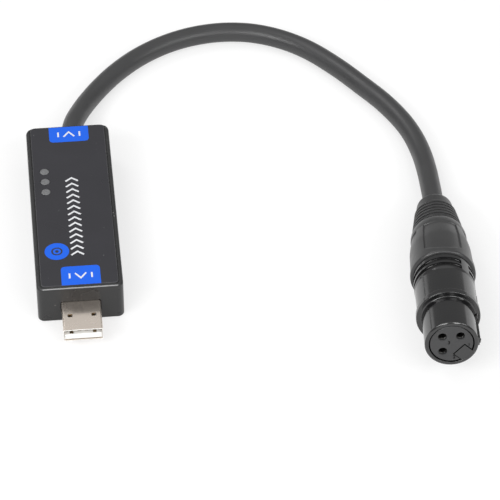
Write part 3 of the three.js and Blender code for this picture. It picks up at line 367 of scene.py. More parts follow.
cord_opening = circle(GROMMET_NECK + FINE_GAP, CORD_X, CORD_Z)
rear_stations = [CASE_REAR - CASE_WALL - OVERRUN, CASE_REAR + OVERRUN]
carved(case, formed("cord_opening", *lofted(along_y(cord_opening, rear_stations))))
for lens_y in LENS_Y:
    hole = circle(LENS_RADIUS + FINE_GAP, LENS_X, lens_y)
    hole_rings = upright(hole, [ROOF_UNDERSIDE - OVERRUN, CASE_HEIGHT])
    carved(case, formed("lens_hole", *lofted(hole_rings)))

black_abs = coating(
    "black_abs", (0.021, 0.021, 0.0215), 0.3, drift=0.25, grain=0.55, grain_size=0.3, lift=0.015,
    specular=0.45,
)
worn(black_abs, (0.32, 0.31, 0.3), 0.9, 0.76)


def burnished(material, pale, start, end):
    """A painted highlight: a pale line painted along the case's front top edge, where light catches it.
    It lies where the height over the table less the distance along Y is between start and end."""
    nodes, links = material.node_tree.nodes, material.node_tree.links
    shader = nodes["Principled BSDF"]
    apart = nodes.new("ShaderNodeSeparateXYZ")
    links.new(nodes["Texture Coordinate"].outputs["Object"], apart.inputs["Vector"])
    edge = nodes.new("ShaderNodeMath")
    edge.operation = "SUBTRACT"
    links.new(apart.outputs["Z"], edge.inputs[0])
    links.new(apart.outputs["Y"], edge.inputs[1])
    line = nodes.new("ShaderNodeMapRange")
    line.inputs["From Min"].default_value = start * MM
    line.inputs["From Max"].default_value = end * MM
    links.new(edge.outputs["Value"], line.inputs["Value"])
    paler = nodes.new("ShaderNodeMix")
    paler.data_type = "RGBA"
    paler.inputs["B"].default_value = (*pale, 1)
    links.new(shader.inputs["Base Color"].links[0].from_socket, paler.inputs["A"])
    links.new(line.outputs["Result"], paler.inputs["Factor"])
    links.new(paler.outputs["Result"], shader.inputs["Base Color"])


# Painted highlight: a pale line painted on the case's front top edge where light catches it.
burnished(black_abs, (0.3, 0.3, 0.3), EDGE_HIGHLIGHT_START, EDGE_HIGHLIGHT_END)
dressed(case)
mounted(case, "interface", "casing", black_abs, "case_cover")
plate_abs = coating("black_abs_inside", (0.02, 0.02, 0.0205), 0.5, grain=0.6, grain_size=0.4, lift=0.02)


def kept(names, skin):
    """CAD solids whose own shape is right keep it, and get a real finish."""
    for name in names:
        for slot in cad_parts[name].material_slots:
            slot.material = skin


kept(["base_plate"], plate_abs)

# The label.
# A printed polycarbonate film, glued into the recess. Its bands, disc and signs are flat inks under
# the same satin face, and three openings let the lamps' lenses through.
LABEL_WIDTH = 23.5
LABEL_FRONT, LABEL_REAR = -36.45, 37.2
LABEL_BOTTOM = 13.05
INK_RISE = 0.02
BAND_CORNER, BAND_STEPS = 1.3, 8
FRONT_BAND, REAR_BAND = (-5.45, 6.5, -36.4, -28.2), (-5.9, 6.65, 29.9, 37.15)
DISC_X, DISC_Y, DISC, DISC_DOT, RING_OUTER, RING_INNER = -6.19, -21.1, 3.77, 0.55, 1.75, 1.25
STROKE, ARROW_HALF, ARROW_RISE, BAR_OUT = 0.55, 1.7, 1.1, 3.4
CHEVRONS, CHEVRON_START, CHEVRON_PITCH, CHEVRON_RISE, CHEVRON_STROKE = 14, -23.1, 2.62, 1.5, 0.62
CHEVRON_LEFT, CHEVRON_TIP, CHEVRON_RIGHT = -1.85, 0.1, 2.05

label_centre = (LABEL_FRONT + LABEL_REAR) / 2
label_steps = [(0.05, LABEL_BOTTOM), (0, LABEL_BOTTOM + 0.05), (0, LABEL_TOP - 0.08), (0.13, LABEL_TOP)]
label_rings = upright(
    [
        rounded(LABEL_WIDTH - 2 * i, LABEL_REAR - LABEL_FRONT - 2 * i, LABEL_CORNER - i, 0, label_centre)
        for i, height in label_steps
    ],
    [height for i, height in label_steps],
)
label = formed("label_film", *lofted(label_rings))
for lens_y in LENS_Y:
    hole = circle(LENS_RADIUS + FINE_GAP, LENS_X, lens_y)
    hole_rings = upright(hole, [LABEL_BOTTOM - OVERRUN, LABEL_TOP + OVERRUN])
    carved(label, formed("lens_hole", *lofted(hole_rings)))
film = coating(
    "satin_film", (0.0195, 0.019, 0.024), 0.3, drift=0.2, drift_size=14,
    grain=0.3, grain_size=0.12, lift=0.006,
)
worn(film, (0.4, 0.4, 0.4), 0.7, 0.785)
dressed(label)
mounted(label, "interface", "label", film, "label_overlay")
cut_edge = coating("film_cut_edge", (0.075, 0.075, 0.08), 0.35, drift=0.3, drift_size=3)
label.data.materials.append(cut_edge)
for side in label.data.polygons:
    side.material_index = 1 if abs(side.normal.z) < 0.97 else 0


def printed(name, outlines, ink, level=0):
    """A thin layer of ink on the label, from one or more closed outlines."""
    points, faces = [], []
    low = LABEL_TOP + level * INK_RISE / 2
    for outline in outlines:
        some, sides = lofted(upright(outline, [low - INK_RISE, low + INK_RISE]))
        faces += [tuple(k + len(points) for k in face) for face in sides]
        points += some
    layer = formed(name, points, faces)
    dressed(layer)
    return mounted(layer, "interface", "label", ink)


def band(x_low, x_high, y_low, y_high, round_high):
    """A band with its two corners rounded at one end only."""
    outline = []
    for side, start in ((1, 0), (-1, 90)):
        centre = side * ((x_high - x_low) / 2 - BAND_CORNER) + (x_low + x_high) / 2
        for step in range(BAND_STEPS + 1):
            angle = math.radians(start + 90 * step / BAND_STEPS)
            across, along = BAND_CORNER * math.cos(angle), BAND_CORNER * math.sin(angle)
            outline.append((centre + across, y_high - BAND_CORNER + along))
    outline += [(x_low, y_low), (x_high, y_low)]
    if round_high:
        return outline
    return [(x, y_low + y_high - y) for x, y in reversed(outline)]


def stroke(path, width):
    """An even stroke along a bent line, with mitred corners."""
    left, right = [], []
    for k, (x, y) in enumerate(path):
        ends = [path[max(k - 1, 0)], path[min(k + 1, len(path) - 1)]]
        heading = [Vector(b) - Vector(a) for a, b in ((ends[0], (x, y)), ((x, y), ends[1])) if a != b]
        normals = [Vector((-h.y, h.x)).normalized() for h in heading]
        mean = (normals[0] + normals[-1]).normalized()
        half = width / 2 / max(mean.dot(normals[0]), 0.5)
        left.append((x + mean.x * half, y + mean.y * half))
        right.append((x - mean.x * half, y - mean.y * half))
    return left + right[::-1]


def printing_ink(name, colour, roughness, specular=0.5):
    """A flat ink, nearly even in shade."""
    return coating(
        name, colour, roughness, drift=0.07, grain=0.3, grain_size=0.12, lift=0.004, specular=specular
    )


blue_ink = printing_ink("blue_ink", (0.01, 0.118, 0.74), 0.4, 0.25)
white_ink = printing_ink("white_ink", (0.72, 0.73, 0.75), 0.35)
black_ink = printing_ink("black_ink", (0.02, 0.022, 0.03), 0.35)
printed("label_band_front", [band(*FRONT_BAND, True)], blue_ink)
printed("label_band_rear", [band(*REAR_BAND, False)], blue_ink)
printed("label_disc", [circle(DISC, DISC_X, DISC_Y, 64)], blue_ink)


def arrow(x, y, pointing):
    """A plain arrow with two short bars behind it."""
    rise = pointing * ARROW_RISE
    tip = [(x - ARROW_HALF, y - rise), (x, y + rise), (x + ARROW_HALF, y - rise)]
    bars = [[(x + out, y - ARROW_RISE), (x + out, y + ARROW_RISE)] for out in (-BAR_OUT, BAR_OUT)]
    return [stroke(line, STROKE) for line in (tip, *bars)]


printed("label_arrow_front", arrow(0.5, -32.4, -1), white_ink, 1)
printed("label_arrow_rear", arrow(0.4, 33.5, 1), white_ink, 1)
chevrons = []
for k in range(CHEVRONS):
    y = CHEVRON_START + k * CHEVRON_PITCH
    bent = [(CHEVRON_LEFT, y), (CHEVRON_TIP, y + CHEVRON_RISE), (CHEVRON_RIGHT, y)]
    chevrons.append(stroke(bent, CHEVRON_STROKE))
printed("label_chevrons", chevrons, white_ink)
ring_outer, ring_inner = [circle(radius, DISC_X, DISC_Y, 40) for radius in (RING_OUTER, RING_INNER)]
ring_heights = [LABEL_TOP, LABEL_TOP + 1.5 * INK_RISE, LABEL_TOP + 1.5 * INK_RISE, LABEL_TOP]
ring_rings = upright([ring_outer, ring_outer, ring_inner, ring_inner], ring_heights)
ring = formed("label_disc_ring", *lofted(ring_rings, closed=True))
mounted(dressed(ring), "interface", "label", black_ink)
printed("label_disc_dot", [circle(DISC_DOT, DISC_X, DISC_Y, 24)], black_ink, 1)

# The three lenses.
# Short smoke-grey acrylic pins that carry the lamps' light up through the label. Each has a flange
# that rests under the roof, and a face that is very slightly crowned.
LENS_CROWN, LENS_FLANGE, LENS_FLANGE_HEIGHT = 0.04, 1.9, 0.8


def turned(profile, degrees=(0, 360), facets=128):
    """A profile of (radius, distance) turned about the Y axis; profile may be a function of angle."""
    full = degrees[1] - degrees[0] >= 360
    count = facets if full else facets + 1
    rings = []
    for k in range(count):
        angle = math.radians(degrees[0] + (degrees[1] - degrees[0]) * k / facets)
        shape = profile(math.degrees(angle)) if callable(profile) else profile
        rings.append([(r * math.cos(angle), s, r * math.sin(angle)) for r, s in shape])
    return lofted(rings, closed=full)


def eased(corners, amount, steps=3):
    """A closed profile with each corner rounded off; a corner may give its own amount."""
    profile = []
    for k, corner in enumerate(corners):
        here = Vector(corner[:2])
        before = Vector(corners[k - 1][:2]) - here
        after = Vector(corners[(k + 1) % len(corners)][:2]) - here
        reach = min(corner[2] if len(corner) > 2 else amount, 0.45 * before.length, 0.45 * after.length)
        if reach <= 0:
            profile.append(tuple(here))
            continue
        start, end = before.normalized() * reach, after.normalized() * reach
        for step in range(steps + 1):
            t = step / steps
            profile.append(tuple(here + start * (1 - t) ** 2 + end * t ** 2))
    return profile


smoke_acrylic = coating("smoke_acrylic", (0.158, 0.16, 0.164), 0.33, drift=0.2, drift_size=1.6, grain=0.15)
acrylic_shader = smoke_acrylic.node_tree.nodes["Principled BSDF"]
acrylic_shader.inputs["Subsurface Weight"].default_value = 0.15
acrylic_shader.inputs["Subsurface Radius"].default_value = (0.0006, 0.0006, 0.0006)
lens_bottom, lens_flange_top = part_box("light_window_1")[0].z / MM, ROOF_UNDERSIDE - FINE_GAP
lens_profile = eased(
    [
        (0, lens_bottom, 0), (LENS_RADIUS, lens_bottom),
        (LENS_RADIUS, lens_flange_top - LENS_FLANGE_HEIGHT),
        (LENS_FLANGE, lens_flange_top - LENS_FLANGE_HEIGHT), (LENS_FLANGE, lens_flange_top),
        (LENS_RADIUS, lens_flange_top),
        (LENS_RADIUS, LABEL_TOP - 0.06), (LENS_RADIUS - 0.1, LABEL_TOP),
        (LENS_RADIUS * 0.6, LABEL_TOP + 0.7 * LENS_CROWN), (0, LABEL_TOP + LENS_CROWN, 0),
    ],
    0.06,
)
for k, lens_y in enumerate(LENS_Y, 1):
    lens = formed(f"lamp_lens_{k}", *turned(lens_profile, facets=48))
    lens.data.transform(Matrix.Translation((LENS_X, lens_y, 0)) @ Matrix.Rotation(math.pi / 2, 4, "X"))
    mounted(dressed(lens), "interface", "window", smoke_acrylic, f"light_window_{k}")

# The USB plug.
# A sleeve of nickel-plated steel sheet, folded round a white moulded tongue with four gilt contacts.
# Each broad side has two square latching windows, and the sheet's ends meet in a seam underneath.
PLUG_FRONT, PLUG_REAR = -50.35, -31.6
PLUG_SHEET, PLUG_NOSE = 0.3, 0.1
WINDOW_WIDTH, WINDOW_LENGTH, WINDOW_CORNER, WINDOW_X, WINDOW_Y = 1.5, 1.3, 0.18, 3.625, -44.0
WINDOW_CUTS = (2.5, 4.5), (6.5, 8.5)
SEAM_WIDTH, SEAM_LENGTH, SEAM_Y, SEAM_CUT = 0.12, 25, -41, [3.2, 3.48]

plug_rings = []
for inset, station in (
    (0, PLUG_REAR), (0, PLUG_FRONT + PLUG_NOSE), (PLUG_NOSE * 0.3, PLUG_FRONT + PLUG_NOSE * 0.3),
    (PLUG_NOSE, PLUG_FRONT), (PLUG_SHEET - PLUG_NOSE * 0.5, PLUG_FRONT),
    (PLUG_SHEET, PLUG_FRONT + PLUG_NOSE), (PLUG_SHEET, PLUG_REAR),
):
    width, height = PLUG_WIDTH - 2 * inset, PLUG_HEIGHT - 2 * inset
    section = rounded(width, height, PLUG_CORNER - inset, 0, PLUG_CENTRE, 7)
    plug_rings += along_y(section, [station])
plug = formed("plug_sleeve", *lofted(plug_rings, closed=True))
for side in (-1, 1):
    outline = rounded(WINDOW_WIDTH, WINDOW_LENGTH, WINDOW_CORNER, side * WINDOW_X, WINDOW_Y, 3)
    for low, high in WINDOW_CUTS:
        carved(plug, formed("latch_window", *lofted(upright(outline, [low, high]))))
seam_outline = rounded(SEAM_WIDTH, SEAM_LENGTH, 0.05, 0, SEAM_Y)
carved(plug, formed("seam", *lofted(upright(seam_outline, SEAM_CUT))))
nickel = coating(
    "nickel_plate", (0.74, 0.66, 0.585), 0.24, drift=0.06, drift_size=5, gloss_drift=0.05,
    grain=0.25, grain_size=0.3, lift=0.004, metallic=0.9,
)
nodes, links = nickel.node_tree.nodes, nickel.node_tree.links
drawn = nodes.new("ShaderNodeMapping")
drawn.inputs["Scale"].default_value = (1, 0.04, 1)
links.new(nodes["Texture Coordinate"].outputs["Object"], drawn.inputs["Vector"])
links.new(drawn.outputs["Vector"], nodes["speckle"].inputs["Vector"])
dressed(plug)
mounted(plug, "interface", "plug_steel", nickel, "usb_shell")
# The sleeve's front rim is painted near-white: a painted highlight standing in for glare off its edges.
plug.data.materials.append(coating("plug_rim_painted_glare", (0.86, 0.84, 0.8), 0.5, drift_size=1))
for side in plug.data.polygons:
    side.material_index = 1 if side.center.y < (PLUG_FRONT + PLUG_NOSE) * MM else 0
kept(["usb_tongue"], coating("white_nylon", (0.93, 0.93, 0.91), 0.45, drift=0.04, grain=0.3))
# The gold is painted darker than bare gold: painted shade on the contacts inside the plug's mouth.
gilt = coating("gilt_contact", (0.56, 0.42, 0.22), 0.3, drift=0.08, drift_size=2, grain=0.2, metallic=1)
kept([f"usb_contact_{k}" for k in range(1, 5)], gilt)

# The circuit board and its parts.
# A green glass-cloth board on four posts, with two chips, a shielded radio, a crystal, a buffer
# capacitor, three lamps below the lenses, and small resistors and capacitors.
glass_cloth = coating(
    "green_solder_mask", (0.02, 0.11, 0.055), 0.4, drift=0.3, drift_size=1.2, grain=0.6
)
kept(["circuit_board", "radio_board"], glass_cloth)
kept(["bridge_chip", "driver_chip"], coating("chip_epoxy", (0.02, 0.02, 0.021), 0.55, grain=0.8))
kept(["radio_shield", "crystal"], coating("tinned_can", (0.6, 0.6, 0.59), 0.3, metallic=1))
kept(["buffer_capacitor"], coating("aluminium_can", (0.7, 0.7, 0.7), 0.35, metallic=1))
kept([f"lamp_{k}" for k in (1, 2, 3)], coating("lamp_resin", (0.8, 0.76, 0.58), 0.4))
kept([f"chip_resistor_{k}" for k in range(1, 5)], coating("resistor_glaze", (0.025, 0.026, 0.03), 0.35))
kept([f"chip_capacitor_{k}" for k in (1, 2, 3)], coating("fired_ceramic", (0.42, 0.3, 0.17), 0.5))

# The cord's entry.
# A black rubber grommet snapped into the case's rear wall. Behind it a nylon tie holds the cord
# against a pull, and three leads run on to the board.
GROMMET_FLANGE, GROMMET_BACK, GROMMET_GAP, GROMMET_FACE, CORD_FIT = 4.9, 0.9, 0.15, 39.25, 0.02
STUB_LENGTH, STUB_BEND, LEAD_RADIUS, LEAD_SPREAD, LAND_SPREAD = 8.5, 35, 0.55, 1.5, 3.2
inner_face = CASE_REAR - CASE_WALL - GROMMET_GAP
cord_entry = Matrix.Translation((CORD_X, 0, CORD_Z))
grommet = formed("cord_grommet", *turned(
    eased(
        [
            (CORD_RADIUS + CORD_FIT, inner_face - GROMMET_BACK),
            (GROMMET_FLANGE, inner_face - GROMMET_BACK), (GROMMET_FLANGE, inner_face),
            (GROMMET_NECK, inner_face), (GROMMET_NECK, CASE_REAR + GROMMET_GAP),
            (GROMMET_FLANGE, CASE_REAR + GROMMET_GAP), (GROMMET_FLANGE, GROMMET_FACE, 0.9),
            (CORD_RADIUS + CORD_FIT, GROMMET_FACE, 0.12),
        ],
        0.15, 5,
    ),
    facets=72,
))
rubber = coating(
    "moulded_rubber", (0.025, 0.025, 0.0255), 0.38, drift=0.2, grain=0.5, grain_size=0.25, specular=0.4
)
dressed(grommet, cord_entry)
mounted(grommet, "interface", "rubber", rubber, "cable_grommet")
stub_end = CASE_REAR - CASE_WALL - STUB_LENGTH
stub_points = [(CORD_X, stub_end, CORD_Z), (CORD_X, STUB_BEND, CORD_Z), CORD_ROUTE[0]]
cord_stub = drawn_wire("cord_end_in_case", stub_points, CORD_RADIUS)
mounted(cord_stub, "interface", "jacket", jacket, "cable_in_case")
kept(["cable_tie"], coating("tie_nylon", (0.02, 0.02, 0.021), 0.4, grain=0.3))
lead_skins = [
    ("wire_red", coating("red_insulation", (0.42, 0.03, 0.02), 0.42)),
    ("wire_bare", coating("tinned_copper", (0.62, 0.4, 0.25), 0.35, metallic=1)),
    ("wire_white", coating("white_insulation", (0.72, 0.71, 0.68), 0.42)),
]
for k, (slot, skin) in enumerate(lead_skins, 1):
    low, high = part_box(f"wire_in_case_{k}")
    side = k - 2
    start = Vector((CORD_X + side * LEAD_SPREAD, stub_end - SEAT_GAP, CORD_Z))
    land = Vector((side * LAND_SPREAD, low.y / MM + LEAD_RADIUS, low.z / MM))
    route = [
        start,
        (start.x + (land.x - start.x) / 4, start.y - (start.y - land.y) / 3, CORD_Z),
        (land.x, land.y + LEAD_RADIUS / 2, (CORD_Z + land.z) / 2 + LEAD_RADIUS / 2),
        land,
    ]
    lead = drawn_wire(f"lead_in_case_{k}", bent_through(route, LEAD_STEPS), LEAD_RADIUS)
    mounted(lead, "interface", slot, skin, f"wire_in_case_{k}")

# The connector's shell.
# One zinc die casting in smooth black lacquer: a barrel, a flange, a body and a collar with two ring
# grooves, and a key inside its mouth. A slot along one side holds the latch.
FACE_PLACE, FACE_TURN, FACE_TILT = (108.46, -73.56, 14.22), -3.82, -6.3
BORE, BARREL, FLANGE, BODY, COLLAR, THREAD = 6.8, 8.05, 9.7, 9.15, 9.3, 7.9
FLANGE_START, FLANGE_END, COLLAR_START, COLLAR_END, SHELL_END = 12.8, 14.9, 25.5, 32.5, 43.5
LATCH_DEGREES, LATCH_WIDTH, SLOT_TOP, SLOT_START, SLOT_END, LATCH_FLOOR = -3, 2.9, 9.1, 1.3, 26.0, 5.3
RIM_BEVEL_ACROSS, RIM_BEVEL_ALONG = 0.41, 0.29
GROOVE_STARTS, GROOVE_WIDTH, GROOVE_DEPTH, GROOVE_REACH = (26.7, 29.25), 1.72, 0.5, 9.9
STRIP_DEGREES, STRIP_HALF_WIDTH = 48, 1.5
KEY_LOW, KEY_HIGH, KEY_DEGREES = (3.2, 0.05, -2.25), (7.4, 8, 2.25), -42
face = Matrix.Translation(FACE_PLACE) @ Matrix.Rotation(math.radians(FACE_TURN), 4, "Z")
face = face @ Matrix.Rotation(math.radians(FACE_TILT), 4, "X")


def swung(degrees):
    """A turn about the connector's axis, from +X towards +Z."""
    return Matrix.Rotation(-math.radians(degrees), 4, "Y")


def slab(low, high, corner=0.0, turn=0.0):
    """A block in X, Y and Z with its four long edges rounded, run along Y and turned about it."""
    width, height = high[0] - low[0], high[2] - low[2]
    middle_x, middle_z = (low[0] + high[0]) / 2, (low[2] + high[2]) / 2
    outline = rounded(width, height, max(corner, 1e-3), middle_x, middle_z, 4)
    solid = formed("slab", *lofted(along_y(outline, [low[1], high[1]])))
    solid.data.transform(swung(turn))
    return solid


shell_profile = eased(
    [
        (BORE, 0, 0.22), (BARREL - RIM_BEVEL_ACROSS, 0), (BARREL, RIM_BEVEL_ALONG, 0.15),
        (BARREL, FLANGE_START, 0.5), (FLANGE, FLANGE_START, 0.3), (FLANGE, FLANGE_END, 0.4),
        (BODY, FLANGE_END, 0.1), (BODY, COLLAR_START, 0.3), (COLLAR, COLLAR_START + 0.9, 0.3),
        (COLLAR, COLLAR_END, 0.15), (THREAD, COLLAR_END), (THREAD, SHELL_END), (BORE, SHELL_END),
    ],
    0.1, 5,
)
shell = formed("connector_body", *turned(shell_profile, facets=144))
strip_half = math.degrees(STRIP_HALF_WIDTH / COLLAR)
groove_arc = (STRIP_DEGREES + strip_half, STRIP_DEGREES + 360 - strip_half)
for groove in GROOVE_STARTS:
    floor, groove_end = COLLAR - GROOVE_DEPTH, groove + GROOVE_WIDTH
    profile = [(floor, groove), (GROOVE_REACH, groove), (GROOVE_REACH, groove_end), (floor, groove_end)]
    carved(shell, formed("ring_groove", *turned(eased(profile, 0.2), groove_arc, 160)))
carved(shell, slab(KEY_LOW, KEY_HIGH, 0.25, KEY_DEGREES), "UNION")
half_slot = LATCH_WIDTH / 2 + SEAT_GAP
for slot_start, slot_top in ((SLOT_START, SLOT_TOP), (FLANGE_END, FLANGE)):
    low, high = (LATCH_FLOOR, slot_start, -half_slot), (slot_top, SLOT_END, half_slot)
    carved(shell, slab(low, high, 0.1, LATCH_DEGREES))
lacquer = coating(
    "black_lacquer", (0.007, 0.007, 0.0075), 0.14, drift=0.15, drift_size=12, gloss_drift=0.03,
    grain=0.2, grain_size=0.5, lift=0.004, specular=0.85,
)
dressed(shell, face, 30)
mounted(shell, "interface", "black_metal", lacquer, "connector_shell")
# The ring grooves' floors are painted near-black with weaker gloss: painted shade in the grooves.
shell.data.materials.append(coating("groove_painted_shade", (0.004, 0.004, 0.004), 0.2, drift_size=5, specular=0.4))
connector_frame = face.inverted()
for side in shell.data.polygons:
    spot = connector_frame @ (side.center / MM)
    sunk = abs(math.hypot(spot.x, spot.z) - COLLAR + GROOVE_DEPTH) < 0.1
    side.material_index = 1 if sunk and COLLAR_START < spot.y < COLLAR_END else 0

# The insert and its contacts.
# A block of black glass-filled nylon inside the shell, notched for the key and cut away below the
# latch. Three silver-plated sockets sit in its holes, each with its number moulded beside it.
INSERT, INSERT_FACE, INSERT_END = 6.5, 0.15, 22.15
CONTACT_CIRCLE, CONTACT_DEGREES, HOLE, SOCKET = 3.81, (48, 228, 138), 1.25, 1.6
BORE_STEP, BORE_END, HOLE_FLARE = 1.05, 24, 0.34
SOCKET_MOUTH, SOCKET_START, SOCKET_FLOOR, CUP_START, SOCKET_END = 1.2, 1.15, 14.25, 23.65, 26.65
NUMBER_SIZE, NUMBER_HALF_DEPTH, NUMBER_PROUD = 1.5, 0.07, 0.01
NUMBER_PLACES = (5.2, -0.45), (0.9, -5.0), (-0.8, 0.4)


def around(radius, degrees, distance=0):
    """A point at that radius and angle, at that distance behind the connector's face."""
    angle = math.radians(degrees)
    return Vector((radius * math.cos(angle), distance, radius * math.sin(angle)))


core_corners = [
    (0, INSERT_FACE, 0), (INSERT, INSERT_FACE, 0.3), (INSERT, INSERT_END, 0.2), (0, INSERT_END, 0)
]
insert = formed("connector_core", *turned(eased(core_corners, 0.2)))
for degrees in CONTACT_DEGREES:
    bore = formed("bore", *turned(
        [
            (0, -OVERRUN), (HOLE + HOLE_FLARE, -OVERRUN), (HOLE + HOLE_FLARE, INSERT_FACE),
            (HOLE + 0.1, INSERT_FACE + 0.12), (HOLE, INSERT_FACE + 0.35), (HOLE, BORE_STEP),
            (SOCKET + FINE_GAP, BORE_STEP), (SOCKET + FINE_GAP, BORE_END), (0, BORE_END),
        ],
        facets=48,
    ))
    bore.data.transform(Matrix.Translation(around(CONTACT_CIRCLE, degrees)))
    carved(insert, bore)
carved(insert, slab((2.9, -OVERRUN, -2.55), (9, 8.3, 2.55), 0.2, KEY_DEGREES))
low, high = (LATCH_FLOOR, 1.6, -half_slot), (SLOT_TOP, BORE_END, half_slot)
carved(insert, slab(low, high, 0.1, LATCH_DEGREES))
glass_nylon = coating(
    "glass_filled_nylon", (0.039, 0.039, 0.04), 0.42, drift=0.15, drift_size=4, grain=0.6, grain_size=0.2
)
dressed(insert, face)
mounted(insert, "interface", "insert", glass_nylon, "connector_insert")
# The sockets' silver is painted dark: painted shade deep in the contact holes.
silver = coating("silver_painted_shade", (0.15, 0.147, 0.14), 0.42, drift=0.1, drift_size=2, grain=0.2, metallic=1)
for k, degrees in enumerate(CONTACT_DEGREES, 1):
    socket = formed(f"contact_socket_{k}", *turned(
        eased(
            [
                (0, SOCKET_FLOOR, 0), (SOCKET_MOUTH, SOCKET_FLOOR), (SOCKET_MOUTH, 1.4, 0.15),
                (1.32, SOCKET_START, 0.05), (SOCKET, SOCKET_START, 0.15), (SOCKET, SOCKET_END),
                (1.1, SOCKET_END), (1.1, CUP_START), (0, CUP_START, 0),
            ],
            0.08,
        ),
        facets=48,
    ))
    carved(socket, slab((0, CUP_START, -1.1), (3.2, 27.6, 1.1), 0, degrees))
    carved(socket, slab((0.4, 1, -0.12), (3, 9, 0.12), 0, degrees + 90))
    dressed(socket, face @ Matrix.Translation(around(CONTACT_CIRCLE, degrees)))
    mounted(socket, "interface", "silver", silver, f"connector_contact_{k}")
# The numbers are painted near-black: painted shade standing in for the shading of their moulded relief.
number_painted_shade = coating("number_painted_shade", (0.005, 0.005, 0.005), 0.6, drift_size=4, specular=0.15)
for k, (x, z) in enumerate(NUMBER_PLACES, 1):
    writing = bpy.data.curves.new(f"number_{k}", "FONT")
    writing.body = str(k)
    writing.size = NUMBER_SIZE
    writing.extrude = NUMBER_HALF_DEPTH
    writing.align_x, writing.align_y = "CENTER", "CENTER"
    draft = bpy.data.objects.new("draft", writing)
    scene.collection.objects.link(draft)
    shown = draft.evaluated_get(bpy.context.evaluated_depsgraph_get())
    mesh = bpy.data.meshes.new_from_object(shown)
    bpy.data.objects.remove(draft)
    bpy.data.curves.remove(writing)
    number = bpy.data.objects.new(f"contact_number_{k}", mesh)
    scene.collection.objects.link(number)
    spot = Matrix.Translation((x, INSERT_FACE - NUMBER_HALF_DEPTH + NUMBER_PROUD, z))
    mesh.transform(spot @ Matrix.Rotation(math.pi / 2, 4, "X"))
    dressed(number, face)
    mounted(number, "interface", "insert", number_painted_shade)

# The latch.
# A black steel lever in the shell's slot, on a cross pin at its rear. A leaf spring under it lifts
# its hook past the barrel, and a raised tab stands through the flange's rear side for a finger.
LEVER_TIP, LEVER_UNDER, LEVER_BAR, LEVER_TAB = 1.6, 7.3, 8.58, 9.25
TAB_START, TAB_END, PIVOT, PIVOT_RADIAL, EYE = 15.4, 21.6, 24.8, 8.25, 0.9
HOOK_RISE, HOOK_HALF_WIDTH, LEVER_EDGE, LEVER_HALF_WIDTH = 0.35, 0.55, 0.15, 1.45
LEVER_MIDDLE, LEVER_HALF_WAY, PIN_HOLE = 8.0, 13.0, 0.55
lever_side = eased(
    [
        (LEVER_UNDER, LEVER_TIP, 0.1), (LEVER_BAR, LEVER_TIP, 0.15),
        (LEVER_BAR + HOOK_RISE, LEVER_TIP + 0.3, 0.15), (LEVER_BAR + HOOK_RISE, LEVER_TIP + 0.7, 0.15),
        (LEVER_BAR, LEVER_TIP + 1.1, 0.2), (LEVER_BAR, TAB_START - 0.8, 0.2),
        (LEVER_TAB, TAB_START, 0.3), (LEVER_TAB, TAB_END, 0.3), (PIVOT_RADIAL + EYE, TAB_END + 0.8, 0.3),
        (PIVOT_RADIAL + EYE, PIVOT + EYE, 0.6), (PIVOT_RADIAL - EYE, PIVOT + EYE, 0.6),
        (PIVOT_RADIAL - EYE, PIVOT - EYE, 0.3), (LEVER_UNDER, PIVOT - 2 * EYE, 0.3),
    ],
    0.15, 4,
)
lever_rings = []
lever_slices = [
    (LEVER_EDGE, LEVER_HALF_WIDTH), (0.04, 1.41), (0, 1.3), (0, HOOK_HALF_WIDTH + 0.15), (0, HOOK_HALF_WIDTH)
]
lever_slices += [(inset, -z) for inset, z in reversed(lever_slices)]
for inset, z in lever_slices:
    ring = []
    for r, s in lever_side:
        if abs(z) > HOOK_HALF_WIDTH and s < TAB_START - 1:
            r = min(r, LEVER_BAR)
        r -= math.copysign(min(inset, abs(r - LEVER_MIDDLE)), r - LEVER_MIDDLE)
        ring.append((r, s - math.copysign(inset, s - LEVER_HALF_WAY), z))
    lever_rings.append(ring)
lever = formed("latch_arm", *lofted(lever_rings))
lever.data.transform(swung(LATCH_DEGREES))
eye = formed("eye", *lofted(upright(circle(PIN_HOLE, PIVOT_RADIAL, PIVOT, 32), [-3, 3])))
eye.data.transform(swung(LATCH_DEGREES))
carved(lever, eye)
dressed(lever, face)
mounted(lever, "latch", "black_metal", lacquer, "latch_lever")
kept(["latch_pin", "latch_spring"], coating("blued_spring_steel", (0.13, 0.13, 0.14), 0.45, metallic=1))

# The clamp nut.
# A tapered nut in satin black nylon, screwed over the shell's thread to close the slit sleeve on the
# cord. Its front lip is rounded, and four shallow crowned panels round it are the finger grips.
NUT_START, NUT_LENGTH, NUT_FRONT, NUT_MIDDLE, NUT_REAR, NUT_BORE = 32.8, 21.5, 10.1, 9.65, 8.05, 8.2
NUT_END = NUT_START + NUT_LENGTH
NUT_MIDDLE_SHARE, NUT_TAPER_POWER, NUT_LIP, NUT_HEEL = 0.53, 1.15, 0.9, 0.8
SEAT_START, SEAT_END, SEAT_RADIUS, NUT_REAR_BORE = 44.1, 51.1, 6.9, 5.5
PANEL_START, PANEL_END, PANEL_DEPTH, PANEL_CROWN, PANEL_HALF = 2.0, 17.7, 0.45, 0.4, 36.0
PANEL_BOW, BAND_SWELL = 2.3, 0.2
PANELS = 0, 90, 180, 270


def nut_radius(distance):
    """The nut's outside between its panels, at a distance from its front end."""
    middle = NUT_LENGTH * NUT_MIDDLE_SHARE
    if distance < middle:
        return NUT_FRONT + (NUT_MIDDLE - NUT_FRONT) * distance / middle
    rest = (distance - middle) / (NUT_LENGTH - middle)
    return NUT_MIDDLE + (NUT_REAR - NUT_MIDDLE) * rest ** NUT_TAPER_POWER


def softly(value):
    """A gentle rise from 0 to 1."""
    value = min(max(value, 0), 1)
    return value * value * (3 - 2 * value)


